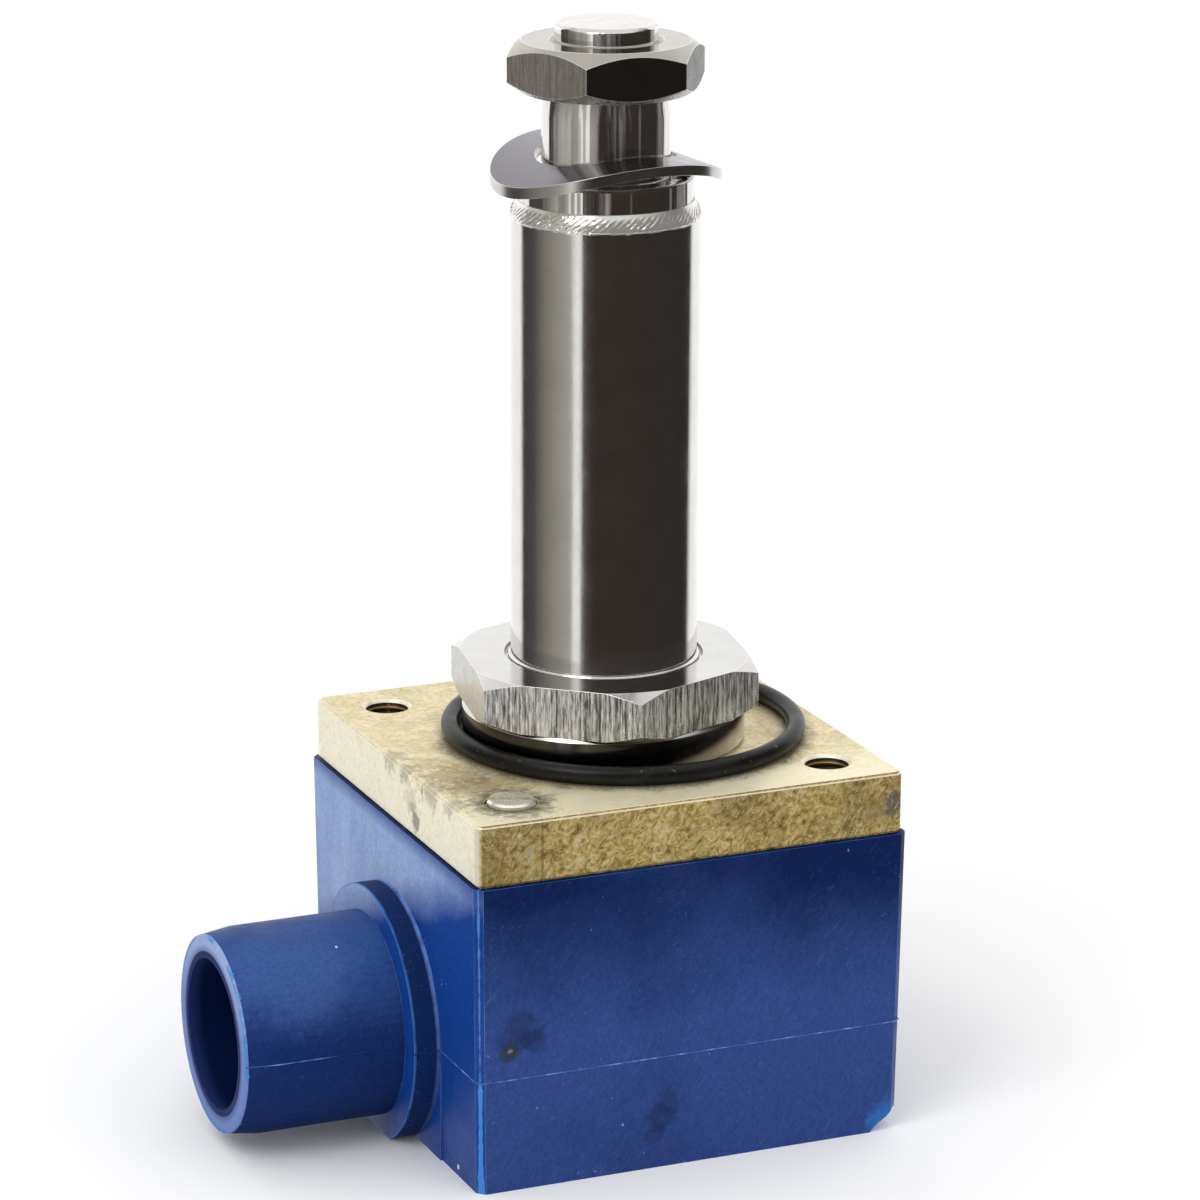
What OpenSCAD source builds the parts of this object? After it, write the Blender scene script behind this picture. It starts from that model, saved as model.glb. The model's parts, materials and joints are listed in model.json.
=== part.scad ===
// Direct-acting two-way milk valve with its coil taken off.
// +Z is up along the guide tube. The origin is on the tube's axis, in the flat underside of the body.
// The inlet spigot points to -X and the outlet spigot to +Y.

/* [Body] */
// Width of the moulded body at its top face
body_w = 44.3; // [43:0.1:56]
// Height of the moulded body
body_h = 30.3; // [29.5:0.1:38]
// Mould draft of the four side faces, in degrees
body_draft = 0.7; // [0.3:0.1:1]
// Width of the chamfer along the body's upright edges
body_edge = 0.5; // [0.3:0.1:1]

/* [Spigots] */
// Height of the spigot axes, which is also the mould's parting plane
spigot_z = 11.2; // [11.1:0.1:12]
// Outside diameter of a spigot
spigot_d = 20; // [19:0.1:21]
// Bore of a spigot
spigot_bore = 14.6; // [12:0.1:15]
// Distance from the valve's axis to a spigot's mouth
spigot_reach = 40.4; // [36:0.1:60]
// Length of the lead-in taper at a spigot's mouth
lead_in_l = 3.1; // [1:0.1:5]
// Outside diameter at a spigot's mouth
lead_in_d = 19.1; // [18:0.1:19.8]
// Diameter of the hose stop disc
stop_d = 25; // [24:0.1:28]
// Distance from the valve's axis to the hose stop's face
stop_reach = 24.6; // [24.4:0.1:26]

/* [Top plate] */
// Width of the square brass plate
plate_w = 43.6; // [42:0.1:48]
// Thickness of the brass plate
plate_t = 6.1; // [5.6:0.1:9]
// Bolt circle of the four corner holes
corner_pcd = 46; // [45.5:0.1:46.5]
// Diameter inside the tapped corner holes
tap_d = 4.2; // [4:0.1:4.4]
// Nominal diameter of the corner screws
screw_d = 5; // [4.5:0.1:5]

/* [Guide tube] */
// Outside diameter of the guide tube
tube_d = 18; // [17.6:0.1:19]
// Wall of the guide tube
tube_wall = 0.7; // [0.5:0.1:1]
// Height of the guide tube's upper end
tube_top = 87.8; // [84:0.1:110]

/* [Hex base] */
// Width across the flats of the hex base
hex_af = 26.9; // [26:0.1:30]
// Height of the hex
hex_h = 4.85; // [4:0.05:8]
// Diameter of the round flange under the hex
flange_d = 27.4; // [26.6:0.1:28.4]
// Height of the round flange under the hex
flange_h = 3.55; // [2.5:0.05:6]
// Root diameter of the thread that holds the hex base in the plate
base_thread_d = 24; // [23.6:0.1:25]
// Turn of the hex about the tube, in degrees
hex_turn = 20.15; // [0:0.05:60]

/* [Coil end] */
// Diameter of the coil neck above the guide tube
neck_d = 12.2; // [11:0.1:12.6]
// Length of the coil neck, from plug shoulder to nut shoulder
neck_l = 7.95; // [7:0.05:12]
// Root diameter of the stud's thread
stud_d = 9.8; // [9:0.1:10]
// Height of the stud above the nut shoulder
stud_l = 6.5; // [5.6:0.1:12]
// Width across the flats of the coil nut
nut_af = 17; // [15:0.1:19]
// Thickness of the coil nut
nut_h = 4.8; // [4:0.1:6]
// Turn of the coil nut, in degrees
nut_turn = 56; // [0:1:60]
// Outside diameter of the curved spring washer
washer_d = 21.8; // [20:0.1:22]
// Hole in the curved spring washer
washer_hole = 13.4; // [12.8:0.1:13.8]
// Thickness of the curved spring washer
washer_t = 0.95; // [0.6:0.05:1.1]
// Rise of the curved spring washer, between its low edges and its ridge
washer_rise = 2.8; // [1.5:0.1:3]
// Turn of the washer's ridge, in degrees from +X
washer_turn = -85; // [-90:1:90]

/* [Moving core] */
// Stroke of the plunger, from closed to fully open
stroke = 3; // [1.5:0.1:3.5]
// Radial clearance between plunger and guide tube
plunger_gap = 0.08; // [0.05:0.01:0.1]
// Length of the plunger
plunger_l = 44; // [36:0.5:46]
// Wire diameter of the return spring
spring_wire = 0.9; // [0.6:0.05:1]
// Outside diameter of the return spring
spring_d = 8; // [7:0.1:8.2]
// Turns of the return spring
spring_turns = 9; // [6:1:11]

/* [Diaphragm] */
// Outside diameter of the diaphragm's clamped bead
diaphragm_d = 36; // [35:0.1:36.4]
// Height of the diaphragm's clamped bead
bead_h = 2.6; // [2.2:0.1:3.2]
// Thickness of the diaphragm's flexing web
web_t = 1; // [0.8:0.1:1.4]
// Diameter of the valve seat's opening
seat_d = 10.5; // [8:0.1:11]

/* [Loose ring] */
// Inside diameter of the coil's base seal
coil_seal_id = 31.8; // [31.4:0.1:32.4]
// Section of the coil's base seal
coil_seal_t = 1.8; // [1.5:0.1:2.5]
// How far the loose seal lies off the axis
coil_seal_shift = 2.1; // [0:0.1:2.1]

/* [Hidden] */
$fn = 96;

slip = 0.1;                                     // play where one piece drops into another
body_low_w = body_w - 2*body_h*tan(body_draft); // body width at the underside
plate_z = body_h;                               // underside of the plate
plate_top = plate_z + plate_t;
corner_r = corner_pcd/2;                        // corner screws, from the axis

// Waterways inside the body
floor_z = spigot_z + spigot_bore/2 + 2;         // floor of the ring chamber round the seat
chamber_r = 15;                                 // outer wall of the ring chamber
seat_z = body_h - 5.4;                          // height of the valve seat
seat_wall = 1.6;                                // wall of the seat post at its rim
post_base_wall = 2.6;                           // wall of the seat post at its foot
inlet_end = 8.6;                                // blind end of the inlet bore, from the axis
port_d = 6.6;                                   // each of the rising ports from the inlet
port_r = 11.4;                                  // ports, from the axis

// Corner screws, entered from below
counterbore_d = 9;
counterbore_h = 9.7;
screw_hole_d = screw_d + 0.5;
lock_washer_t = 1.3;
lock_washer_d = 8.4;
head_d = 8.5;
head_h = 5;
screw_bite = 3.1;                               // thread taken by the plate
screw_tip_z = plate_z + screw_bite;
filled_d = screw_d + 0.08;                      // plate holes where a screw fills the thread
lock_screw_proud = 0.45;                        // the slotted screws stand this far out of the plate

// Tube assembly
tube_id = tube_d - 2*tube_wall;
tube_seat_d = tube_d + 0.5;                     // thicker foot of the tube, on which the hex base is pressed
hex_z = plate_top + flange_h;
hex_top = hex_z + hex_h;
tube_foot_z = plate_z + 0.6;                    // rolled-out foot of the tube, trapped under the hex base
tube_foot_t = 1;
tube_foot_d = tube_d + 3;
weld_h = 1.55;                                  // bead between tube end and plug
weld_top = tube_top + weld_h;
plug_top = weld_top + 2.3;                      // shoulder on which the coil and its washer sit
plug_edge = 0.2;                                // broken edge of that shoulder
nut_z = plug_top + neck_l;                      // shoulder on which the nut stops
neck_cone_h = 2.2;                              // slight cone at the upper end of the neck
stud_top = nut_z + stud_l;

// Moving core
seat_disc_t = 1.6;
web_z = seat_z + seat_disc_t;                   // underside of the diaphragm's web at its middle
clamp_t = 1.5;                                  // plate above the web, carried by the stem
plunger_z = web_z + web_t + clamp_t;            // lower end of the plunger
plunger_d = tube_id - 2*plunger_gap;
plunger_top = plunger_z + plunger_l;
core_z = plunger_top + stroke;                  // lower face of the fixed core
spring_pocket_d = spring_d + 0.6;
spring_pocket_l = 14;
stem_d = 4;
stem_head_d = 7.4;
stem_head_h = 1.2;
ring_groove_z = plunger_z + 18;
guide_ring_h = 4;
guide_ring_t = 1;

// n copies evenly round the Z axis, starting at angle a0
module around(n, r, a0 = 45) {
    for (i = [0 : n - 1]) rotate(a0 + i*360/n) translate([r, 0, 0]) children();
}

// Upright ring of rectangular section
module ring(d, id, h) {
    difference() {
        cylinder(d = d, h = h);
        translate([0, 0, -1]) cylinder(d = id, h = h + 2);
    }
}

// Hexagonal prism with both ends turned to a shallow cone
module turned_hex(af, h, rim, turn, slope = 30) {
    corner_r = af/2/cos(30);
    over = corner_r - rim/2 + 0.2;               // the cones run out past the corners
    rise = over*tan(slope);
    intersection() {
        rotate(turn) cylinder(r = corner_r, h = h, $fn = 6);
        rotate_extrude() polygon([[0, 0], [rim/2, 0], [rim/2 + over, rise],
                                  [rim/2 + over, h - rise], [rim/2, h], [0, h]]);
    }
}

// Square block whose sides lean out by the mould draft
module drafted_block(low_w, high_w, h) {
    profile = [[-low_w/2, 0], [low_w/2, 0], [high_w/2, h], [-high_w/2, h]];
    deep = high_w + 10;
    intersection() {
        translate([0, deep/2, 0]) rotate([90, 0, 0]) linear_extrude(deep) polygon(profile);
        translate([-deep/2, 0, 0]) rotate([90, 0, 90]) linear_extrude(deep) polygon(profile);
    }
}

// Body blank: a drafted block with its upright edges broken by a second block turned 45 degrees
module body_block() {
    across = sqrt(2);
    intersection() {
        drafted_block(body_low_w, body_w, body_h);
        rotate(45) drafted_block(body_low_w*across - 2*body_edge, body_w*across - 2*body_edge, body_h);
    }
}

// Everything of a spigot that stands outside the body, pointing along +X
module spigot() {
    root = body_low_w/2 - 1;
    land_w = stop_d - 0.2;
    land_reach = body_low_w/2 + 0.2;
    translate([0, 0, spigot_z]) rotate([0, 90, 0]) {
        cylinder(d = spigot_d, h = spigot_reach - lead_in_l);
        translate([0, 0, spigot_reach - lead_in_l])
            cylinder(d1 = spigot_d, d2 = lead_in_d, h = lead_in_l);
    }
    // hose stop disc, cut level with the underside
    intersection() {
        translate([root, 0, spigot_z]) rotate([0, 90, 0]) cylinder(d = stop_d, h = stop_reach - root);
        translate([0, -stop_d, 0]) cube([spigot_reach, 2*stop_d, 2*stop_d]);
    }
    // low land that the lower half of the mould leaves on the body under the disc
    translate([root, -land_w/2, 0]) cube([land_reach - root, land_w, spigot_z]);
}

// Bore of a spigot that points along +X, from start to beyond its mouth
module spigot_bore_from(start) {
    translate([start, 0, spigot_z]) rotate([0, 90, 0])
        cylinder(d = spigot_bore, h = spigot_reach - start + 1);
}

module valve_body() color("#1c3f8f") difference() {
    union() {
        body_block();
        rotate(180) spigot();
        rotate(90) spigot();
    }
    // recess that takes the diaphragm's bead
    translate([0, 0, body_h - bead_h]) cylinder(d = diaphragm_d + 2*slip, h = bead_h + 1);
    // ring chamber round the seat post
    difference() {
        translate([0, 0, floor_z]) cylinder(r = chamber_r, h = body_h);
        translate([0, 0, floor_z - 1])
            cylinder(d1 = seat_d + 2*post_base_wall, d2 = seat_d + 2*seat_wall, h = seat_z - floor_z + 1);
    }
    // seat opening, down into the outlet
    translate([0, 0, spigot_z]) cylinder(d = seat_d, h = body_h);
    // inlet bore and its rising ports, set in a fan under the ring chamber
    rotate(180) {
        spigot_bore_from(inlet_end);
        for (a = [-24, 0, 24]) rotate(a) translate([port_r, 0, spigot_z])
            cylinder(d = port_d, h = floor_z - spigot_z + 1);
    }
    // outlet bore
    rotate(90) spigot_bore_from(-seat_d/2 - 0.8);
    // corner screws
    around(4, corner_r) {
        translate([0, 0, -1]) cylinder(d = screw_hole_d, h = body_h + 2);
        translate([0, 0, -1]) cylinder(d = counterbore_d, h = counterbore_h + 1);
    }
}

// Moulded diaphragm: clamped bead, rolling web and a flat middle that closes the seat
module diaphragm() color("#2b2b2b") {
    hub_r = 7;
    bead_w = 2.4;
    bead_z = body_h - bead_h;
    fold_r = (diaphragm_d/2 - bead_w + hub_r)/2;     // middle of the rolling fold
    fold_w = diaphragm_d/2 - bead_w - hub_r;
    rise = 1.4;                                      // height of the fold over the web
    bead_r = diaphragm_d/2 - bead_w;                 // inside of the bead
    rotate_extrude() {
        translate([bead_r, bead_z]) square([bead_w, bead_h]);
        polygon([[stem_d/2, web_z], [hub_r, web_z], [fold_r - fold_w/4, web_z + rise],
                 [fold_r + fold_w/4, web_z + rise], [bead_r + 0.5, bead_z],
                 [bead_r + 0.5, bead_z + web_t], [fold_r + fold_w/4, web_z + rise + web_t],
                 [fold_r - fold_w/4, web_z + rise + web_t], [hub_r, web_z + web_t],
                 [stem_d/2, web_z + web_t]]);
    }
}

// Disc that meets the seat, gripped under the diaphragm by the stem screw's head
module seat_disc() color("#e9e2cf") translate([0, 0, seat_z])
    ring(seat_d + 2*seat_wall + 1, stem_d, seat_disc_t);

// Ring that backs the diaphragm's bead, let into the hole of the plate
module support_ring() color("#c9c9c4") translate([0, 0, plate_z])
    ring(base_thread_d - 2*slip, tube_foot_d - 3, 0.6);

// Square plate with its edges broken
module plate_blank() {
    edge = 0.9;
    half = plate_w/2 - edge;
    rim = 0.25;                                      // broken edge at top and bottom
    // straight middle
    translate([0, 0, rim]) linear_extrude(plate_t - 2*rim) {
        square([plate_w, plate_w - 2*edge], center = true);
        square([plate_w - 2*edge, plate_w], center = true);
        for (x = [-half, half], y = [-half, half]) translate([x, y]) circle(r = edge, $fn = 32);
    }
    // faces, a little smaller
    linear_extrude(plate_t) {
        square([plate_w - 2*rim, plate_w - 2*edge], center = true);
        square([plate_w - 2*edge, plate_w - 2*rim], center = true);
        for (x = [-half, half], y = [-half, half]) translate([x, y]) circle(r = edge - rim, $fn = 32);
    }
}

module top_plate() color("#c8b46a") translate([0, 0, plate_z]) difference() {
    plate_blank();
    translate([0, 0, -1]) cylinder(d = base_thread_d, h = plate_t + 2);
    // threads that the corner screws fill from below, with a little run-out past their tips
    around(4, corner_r) translate([0, 0, -1]) cylinder(d = filled_d, h = screw_bite + 1.5);
    // threads of the slotted screws
    around(2, corner_r, 45) cylinder(d = filled_d, h = plate_t + 1);
    // the two holes left open above the ends of their screws, with a countersink
    around(2, corner_r, 135) {
        cylinder(d = tap_d, h = plate_t + 1);
        translate([0, 0, plate_t - 0.3]) cylinder(d1 = tap_d, d2 = tap_d + 1.2, h = 0.6);
    }
}

// Socket-head screws, seen from below in their counterbores
module body_screws() color("#b8b8b6") around(4, corner_r) {
    shoulder = counterbore_h - lock_washer_t;
    difference() {
        union() {
            translate([0, 0, shoulder - head_h]) cylinder(d = head_d, h = head_h);
            translate([0, 0, shoulder - 0.1]) cylinder(d = screw_d, h = screw_tip_z - 0.4 - shoulder + 0.1);
            translate([0, 0, screw_tip_z - 0.4]) cylinder(d1 = screw_d, d2 = screw_d - 0.8, h = 0.4);
        }
        translate([0, 0, shoulder - head_h - 1]) cylinder(d = 4/cos(30), h = 3.5, $fn = 6);
    }
}

// Split spring washers under the screw heads
module screw_washers() color("#a8a8a6") around(4, corner_r)
    translate([0, 0, counterbore_h - lock_washer_t])
        rotate_extrude(angle = 345) translate([screw_d/2 + 0.1, 0])
            square([lock_washer_d/2 - screw_d/2 - 0.1, lock_washer_t]);

// Slotted headless screws, jammed on the ends of two of the corner screws
module lock_screws() color("#b9b7a8") around(2, corner_r, 45) {
    top = plate_top + lock_screw_proud;
    slot_w = 0.8;
    slot_h = 1.1;
    slot_turn = -68;                             // from the radius through the screw
    difference() {
        union() {
            translate([0, 0, screw_tip_z]) cylinder(d = screw_d, h = plate_top - 0.3 - screw_tip_z);
            translate([0, 0, plate_top - 1]) cylinder(d = screw_d - 0.4, h = lock_screw_proud + 0.8);
            translate([0, 0, top - 0.2]) cylinder(d1 = screw_d - 0.4, d2 = screw_d - 0.8, h = 0.2);
        }
        rotate(slot_turn) translate([-screw_d, -slot_w/2, top - slot_h]) cube([2*screw_d, slot_w, slot_h + 1]);
    }
}

// Turned and milled base that screws into the plate and traps the tube's foot
module tube_hex() color("#c9c9c9") difference() {
    union() {
        translate([0, 0, hex_z]) turned_hex(hex_af, hex_h, hex_af + 1.2, hex_turn);
        translate([0, 0, plate_top]) cylinder(d = flange_d - 0.6, h = 0.3);
        translate([0, 0, plate_top + 0.3]) cylinder(d = flange_d, h = flange_h - 0.6);
        translate([0, 0, hex_z - 0.3]) cylinder(d1 = flange_d, d2 = flange_d - 0.6, h = 0.3);
        translate([0, 0, tube_foot_z + tube_foot_t])
            cylinder(d = base_thread_d, h = plate_top - tube_foot_z - tube_foot_t);
    }
    translate([0, 0, plate_z]) cylinder(d = tube_seat_d, h = hex_top);
    // narrow groove round the tube
    translate([0, 0, hex_top - 0.5]) cylinder(d = tube_seat_d + 0.7, h = 1);
    // groove for the seal under the flange
    translate([0, 0, plate_top - 1]) ring(base_thread_d + 2.6, base_thread_d - 0.6, 2.1);
}

// Seal between the hex base's flange and the plate
module hex_seal() color("#202020") translate([0, 0, plate_top + 0.52])
    rotate_extrude() translate([(base_thread_d + 1)/2, 0]) circle(d = 1);

module guide_tube() color("#d4d4d4") difference() {
    union() {
        translate([0, 0, tube_foot_z]) cylinder(d = tube_d, h = tube_top - tube_foot_z);
        translate([0, 0, tube_foot_z]) cylinder(d = tube_seat_d, h = hex_top - tube_foot_z);
        translate([0, 0, tube_foot_z]) cylinder(d = tube_foot_d, h = tube_foot_t);
    }
    translate([0, 0, tube_foot_z - 1]) cylinder(d = tube_id, h = tube_top);
}

// Weld that closes the tube on the plug
module weld_bead() color("#bdbdbb") translate([0, 0, tube_top]) difference() {
    cylinder(d1 = tube_d, d2 = tube_id + 0.3, h = weld_h);
    translate([0, 0, -1]) cylinder(d = tube_id, h = weld_h + 2);
}

// Fixed core: plug in the tube, neck for the coil and stud for the nut, turned in one
module stop_core() color("#d0d0d0") difference() {
    union() {
        translate([0, 0, core_z]) cylinder(d = tube_id, h = plug_top - plug_edge - core_z);
        translate([0, 0, plug_top - plug_edge])
            cylinder(d1 = tube_id, d2 = tube_id - 2*plug_edge, h = plug_edge);
        translate([0, 0, plug_top - 1]) cylinder(d = neck_d, h = neck_l + 1 - neck_cone_h);
        translate([0, 0, nut_z - neck_cone_h]) cylinder(d1 = neck_d, d2 = neck_d - 0.5, h = neck_cone_h);
        translate([0, 0, nut_z - 1]) cylinder(d = stud_d, h = stud_l + 1 - 0.4);
        translate([0, 0, stud_top - 0.4]) cylinder(d1 = stud_d, d2 = stud_d - 0.8, h = 0.4);
    }
    // groove for the shading ring
    translate([0, 0, core_z - 1]) ring(13.4, 10.6, 3);
    // pocket for the return spring's upper end
    translate([0, 0, core_z - 1]) cylinder(d = spring_pocket_d, h = 3);
}

// Copper ring that keeps the core quiet on alternating current
module shading_ring() color("#b87333") translate([0, 0, core_z + 0.1]) ring(13.4, 10.6, 1.9);

// Moving core with a spring pocket, a guide ring groove and pressure-relief slots
module plunger() color("#bfc1c2") difference() {
    union() {
        translate([0, 0, plunger_z]) cylinder(d1 = plunger_d - 1, d2 = plunger_d, h = 0.5);
        translate([0, 0, plunger_z + 0.5]) cylinder(d = plunger_d, h = plunger_l - 1);
        translate([0, 0, plunger_top - 0.5]) cylinder(d1 = plunger_d, d2 = plunger_d - 1, h = 0.5);
    }
    translate([0, 0, plunger_top - spring_pocket_l]) cylinder(d = spring_pocket_d, h = spring_pocket_l + 1);
    translate([0, 0, plunger_z - 1]) cylinder(d = stem_d, h = 9);
    translate([0, 0, ring_groove_z]) ring(plunger_d + 2, plunger_d - 2*guide_ring_t, guide_ring_h);
    for (a = [0, 180]) rotate(a) translate([plunger_d/2 - 1, -0.8, plunger_z - 1])
        cube([2, 1.6, plunger_l + 2]);
}

// Low-friction ring in the plunger's groove
module guide_ring() color("#f0efe8") translate([0, 0, ring_groove_z])
    ring(plunger_d + 0.04, plunger_d - 2*guide_ring_t, guide_ring_h);

// Plate over the diaphragm's middle, gripped between web and plunger
module clamp_disc() color("#c4c4c4") translate([0, 0, web_z + web_t]) ring(13, stem_d, clamp_t);

// Screw that holds seat disc, diaphragm and clamp disc on the plunger
module stem_screw() color("#b0b0b0") {
    difference() {
        union() {
            translate([0, 0, seat_z - stem_head_h]) cylinder(d = stem_head_d, h = stem_head_h);
            translate([0, 0, seat_z - 0.5]) cylinder(d = stem_d, h = plunger_z + 7 - seat_z);
        }
        translate([-stem_head_d, -0.5, seat_z - stem_head_h - 1]) cube([2*stem_head_d, 1, 1.6]);
    }
}

// Height of the spring's wire after u turns: a closed turn at each end and open turns between
function coil_height(u, turns, closed, low, high) =
    u < 1 ? low + closed*u :
    u > turns - 1 ? high - closed*(turns - u) :
    low + closed + (high - low - 2*closed)*(u - 1)/(turns - 2);

// Helical wire as a chain of short round links
module return_spring() color("#9fa3a6") {
    low = plunger_top - spring_pocket_l + spring_wire/2;
    high = core_z + 2 - spring_wire/2;
    r = (spring_d - spring_wire)/2;
    sides = 6;
    per_turn = 14;
    n = spring_turns*per_turn;
    path = [for (i = [0 : n]) let (a = i*360/per_turn)
        [r*cos(a), r*sin(a), coil_height(i/per_turn, spring_turns, 1.08*spring_wire, low, high)]];
    points = [for (i = [0 : n]) let (a = i*360/per_turn) for (j = [0 : sides - 1])
        let (b = j*360/sides, out = spring_wire/2*cos(b))
        path[i] + [out*cos(a), out*sin(a), spring_wire/2*sin(b)]];
    faces = concat(
        [[for (j = [0 : sides - 1]) j]],
        [for (i = [0 : n - 1], j = [0 : sides - 1]) let (k = (j + 1) % sides)
            [i*sides + k, i*sides + j, (i + 1)*sides + j, (i + 1)*sides + k]],
        [[for (j = [sides - 1 : -1 : 0]) n*sides + j]]);
    polyhedron(points, faces);
}

// Spring washer bent to one curve, its ridge lying across the stud; it rests on the plug's rim, and its
// low edges hang outside that rim
module curved_washer() color("#b4b4b2") {
    half = washer_d/2;
    bend_r = (half*half + washer_rise*washer_rise)/(2*washer_rise);
    rim_r = tube_id/2 - plug_edge;
    rim_drop = bend_r - sqrt(bend_r*bend_r - rim_r*rim_r);
    hang = washer_rise - rim_drop - slip;
    rotate(washer_turn) translate([0, 0, plug_top - hang]) intersection() {
        ring(washer_d, washer_hole, washer_rise + washer_t + 1);
        translate([-half - 1, 0, washer_rise - bend_r]) rotate([0, 90, 0]) difference() {
            cylinder(r = bend_r + washer_t, h = washer_d + 2, $fn = 180);
            translate([0, 0, -1]) cylinder(r = bend_r, h = washer_d + 4, $fn = 180);
        }
    }
}

module coil_nut() color("#8f9190") translate([0, 0, nut_z]) difference() {
    turned_hex(nut_af, nut_h, nut_af - 1, nut_turn, 34);
    translate([0, 0, -1]) cylinder(d = stud_d + 0.16, h = nut_h + 2);
    translate([0, 0, nut_h - 0.5]) cylinder(d1 = stud_d + 0.16, d2 = stud_d + 1.4, h = 0.7);
}

// Base seal of the coil, left lying on the plate
module coil_seal() color("#161616")
    translate([coil_seal_shift, 0, plate_top + coil_seal_t/2])
        rotate_extrude() translate([(coil_seal_id + coil_seal_t)/2, 0]) circle(d = coil_seal_t);

valve_body();
diaphragm();
support_ring();
top_plate();
body_screws();
screw_washers();
lock_screws();
tube_hex();
hex_seal();
guide_tube();
weld_bead();
stop_core();
shading_ring();
plunger();
guide_ring();
stem_screw();
return_spring();
seat_disc();
clamp_disc();
curved_washer();
coil_nut();
coil_seal();
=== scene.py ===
import json
import math

import bmesh
import bpy
from mathutils import Matrix, Vector, noise

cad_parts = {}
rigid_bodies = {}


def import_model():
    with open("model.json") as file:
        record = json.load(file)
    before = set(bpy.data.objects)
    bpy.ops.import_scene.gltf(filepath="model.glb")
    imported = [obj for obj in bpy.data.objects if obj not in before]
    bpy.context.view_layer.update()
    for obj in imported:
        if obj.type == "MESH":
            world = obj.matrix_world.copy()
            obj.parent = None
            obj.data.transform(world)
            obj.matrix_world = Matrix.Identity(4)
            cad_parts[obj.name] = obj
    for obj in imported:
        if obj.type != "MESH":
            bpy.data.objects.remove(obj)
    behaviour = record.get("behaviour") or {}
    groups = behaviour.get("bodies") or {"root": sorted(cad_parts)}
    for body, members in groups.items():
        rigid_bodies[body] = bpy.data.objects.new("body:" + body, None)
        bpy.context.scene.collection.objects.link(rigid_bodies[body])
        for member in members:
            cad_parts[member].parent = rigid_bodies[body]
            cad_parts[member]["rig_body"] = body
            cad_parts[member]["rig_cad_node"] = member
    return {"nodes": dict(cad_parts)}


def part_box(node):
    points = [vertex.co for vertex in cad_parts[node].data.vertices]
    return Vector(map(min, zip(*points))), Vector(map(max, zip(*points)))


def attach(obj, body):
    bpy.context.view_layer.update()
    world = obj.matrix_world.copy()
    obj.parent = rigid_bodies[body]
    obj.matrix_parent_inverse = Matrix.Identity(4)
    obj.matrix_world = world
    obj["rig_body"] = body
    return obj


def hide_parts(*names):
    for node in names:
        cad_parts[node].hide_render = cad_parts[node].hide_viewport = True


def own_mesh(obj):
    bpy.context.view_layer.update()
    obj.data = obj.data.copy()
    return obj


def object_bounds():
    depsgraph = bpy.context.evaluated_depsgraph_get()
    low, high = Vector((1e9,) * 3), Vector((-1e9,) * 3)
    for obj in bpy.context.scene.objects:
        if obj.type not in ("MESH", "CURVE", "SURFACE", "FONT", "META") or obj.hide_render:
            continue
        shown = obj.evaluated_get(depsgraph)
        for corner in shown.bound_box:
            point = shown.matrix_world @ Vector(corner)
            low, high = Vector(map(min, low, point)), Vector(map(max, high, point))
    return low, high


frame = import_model()
cadLow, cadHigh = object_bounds()
print("frame loaded:", len(frame["nodes"]), "nodes")

mm = 0.001


# the camera stands where the photo was taken from
view = {
    "place": (-181.61, -422.78, 183.77),  # mm from the middle of the valve's underside
    "yaw": 23.2009,  # turned right from +Y, degrees
    "pitch": 16.2245,  # looking down
    "roll": 0.2541,
    "lens": 149.18,
    "film": 36,  # side of the square frame, mm
    "nearest": 0.01,  # what it sees starts and ends here, m
    "farthest": 20,
}


def makeCamera():
    yaw, pitch, roll = (math.radians(view[k]) for k in ("yaw", "pitch", "roll"))
    ahead = Vector((math.sin(yaw) * math.cos(pitch), math.cos(yaw) * math.cos(pitch), -math.sin(pitch)))
    right = Vector((math.cos(yaw), -math.sin(yaw), 0))
    up = right.cross(ahead)
    turn = Matrix.Rotation(-roll, 3, ahead)
    right, up = turn @ right, turn @ up
    cam = bpy.data.objects.new("camera", bpy.data.cameras.new("camera"))
    cam.data.lens = view["lens"]
    cam.data.sensor_width = view["film"]
    cam.data.clip_start = view["nearest"]
    cam.data.clip_end = view["farthest"]
    aim = Matrix((right, up, -ahead)).transposed().to_4x4()
    cam.matrix_world = Matrix.Translation(Vector(view["place"]) * mm) @ aim
    bpy.context.scene.collection.objects.link(cam)
    bpy.context.scene.camera = cam


makeCamera()
print("camera placed")


# node helpers: they add nodes to a material's tree, and most give back the socket with the result
def add(tree, kind, sockets=None, **settings):
    made = tree.nodes.new(kind)
    for name, value in settings.items():
        setattr(made, name, value)
    for name, value in (sockets or {}).items():
        if isinstance(value, bpy.types.NodeSocket):
            tree.links.new(value, made.inputs[name])
        else:
            made.inputs[name].default_value = value
    return made


def startMaterial(name):
    mat = bpy.data.materials.new(name)
    mat.use_nodes = True
    tree = mat.node_tree
    shader = tree.nodes["Principled BSDF"]
    place = tree.nodes.new("ShaderNodeTexCoord").outputs["Object"]
    return mat, tree, shader, place


def calc(tree, what, a, b=0.0, clamp=False):
    made = tree.nodes.new("ShaderNodeMath")
    made.operation = what
    made.use_clamp = clamp
    for i, value in enumerate((a, b)):
        if isinstance(value, bpy.types.NodeSocket):
            tree.links.new(value, made.inputs[i])
        else:
            made.inputs[i].default_value = value
    return made.outputs[0]


def chain(tree, what, values):
    total = values[0]
    for value in values[1:]:
        total = calc(tree, what, total, value)
    return total


def times(tree, *values):
    return chain(tree, "MULTIPLY", values)


def plus(tree, *values):
    return chain(tree, "ADD", values)


def most(tree, *values):
    return chain(tree, "MAXIMUM", values)


def over(tree, value, limit):
    return calc(tree, "GREATER_THAN", value, limit)


def below(tree, value, limit):
    return calc(tree, "LESS_THAN", value, limit)


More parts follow.
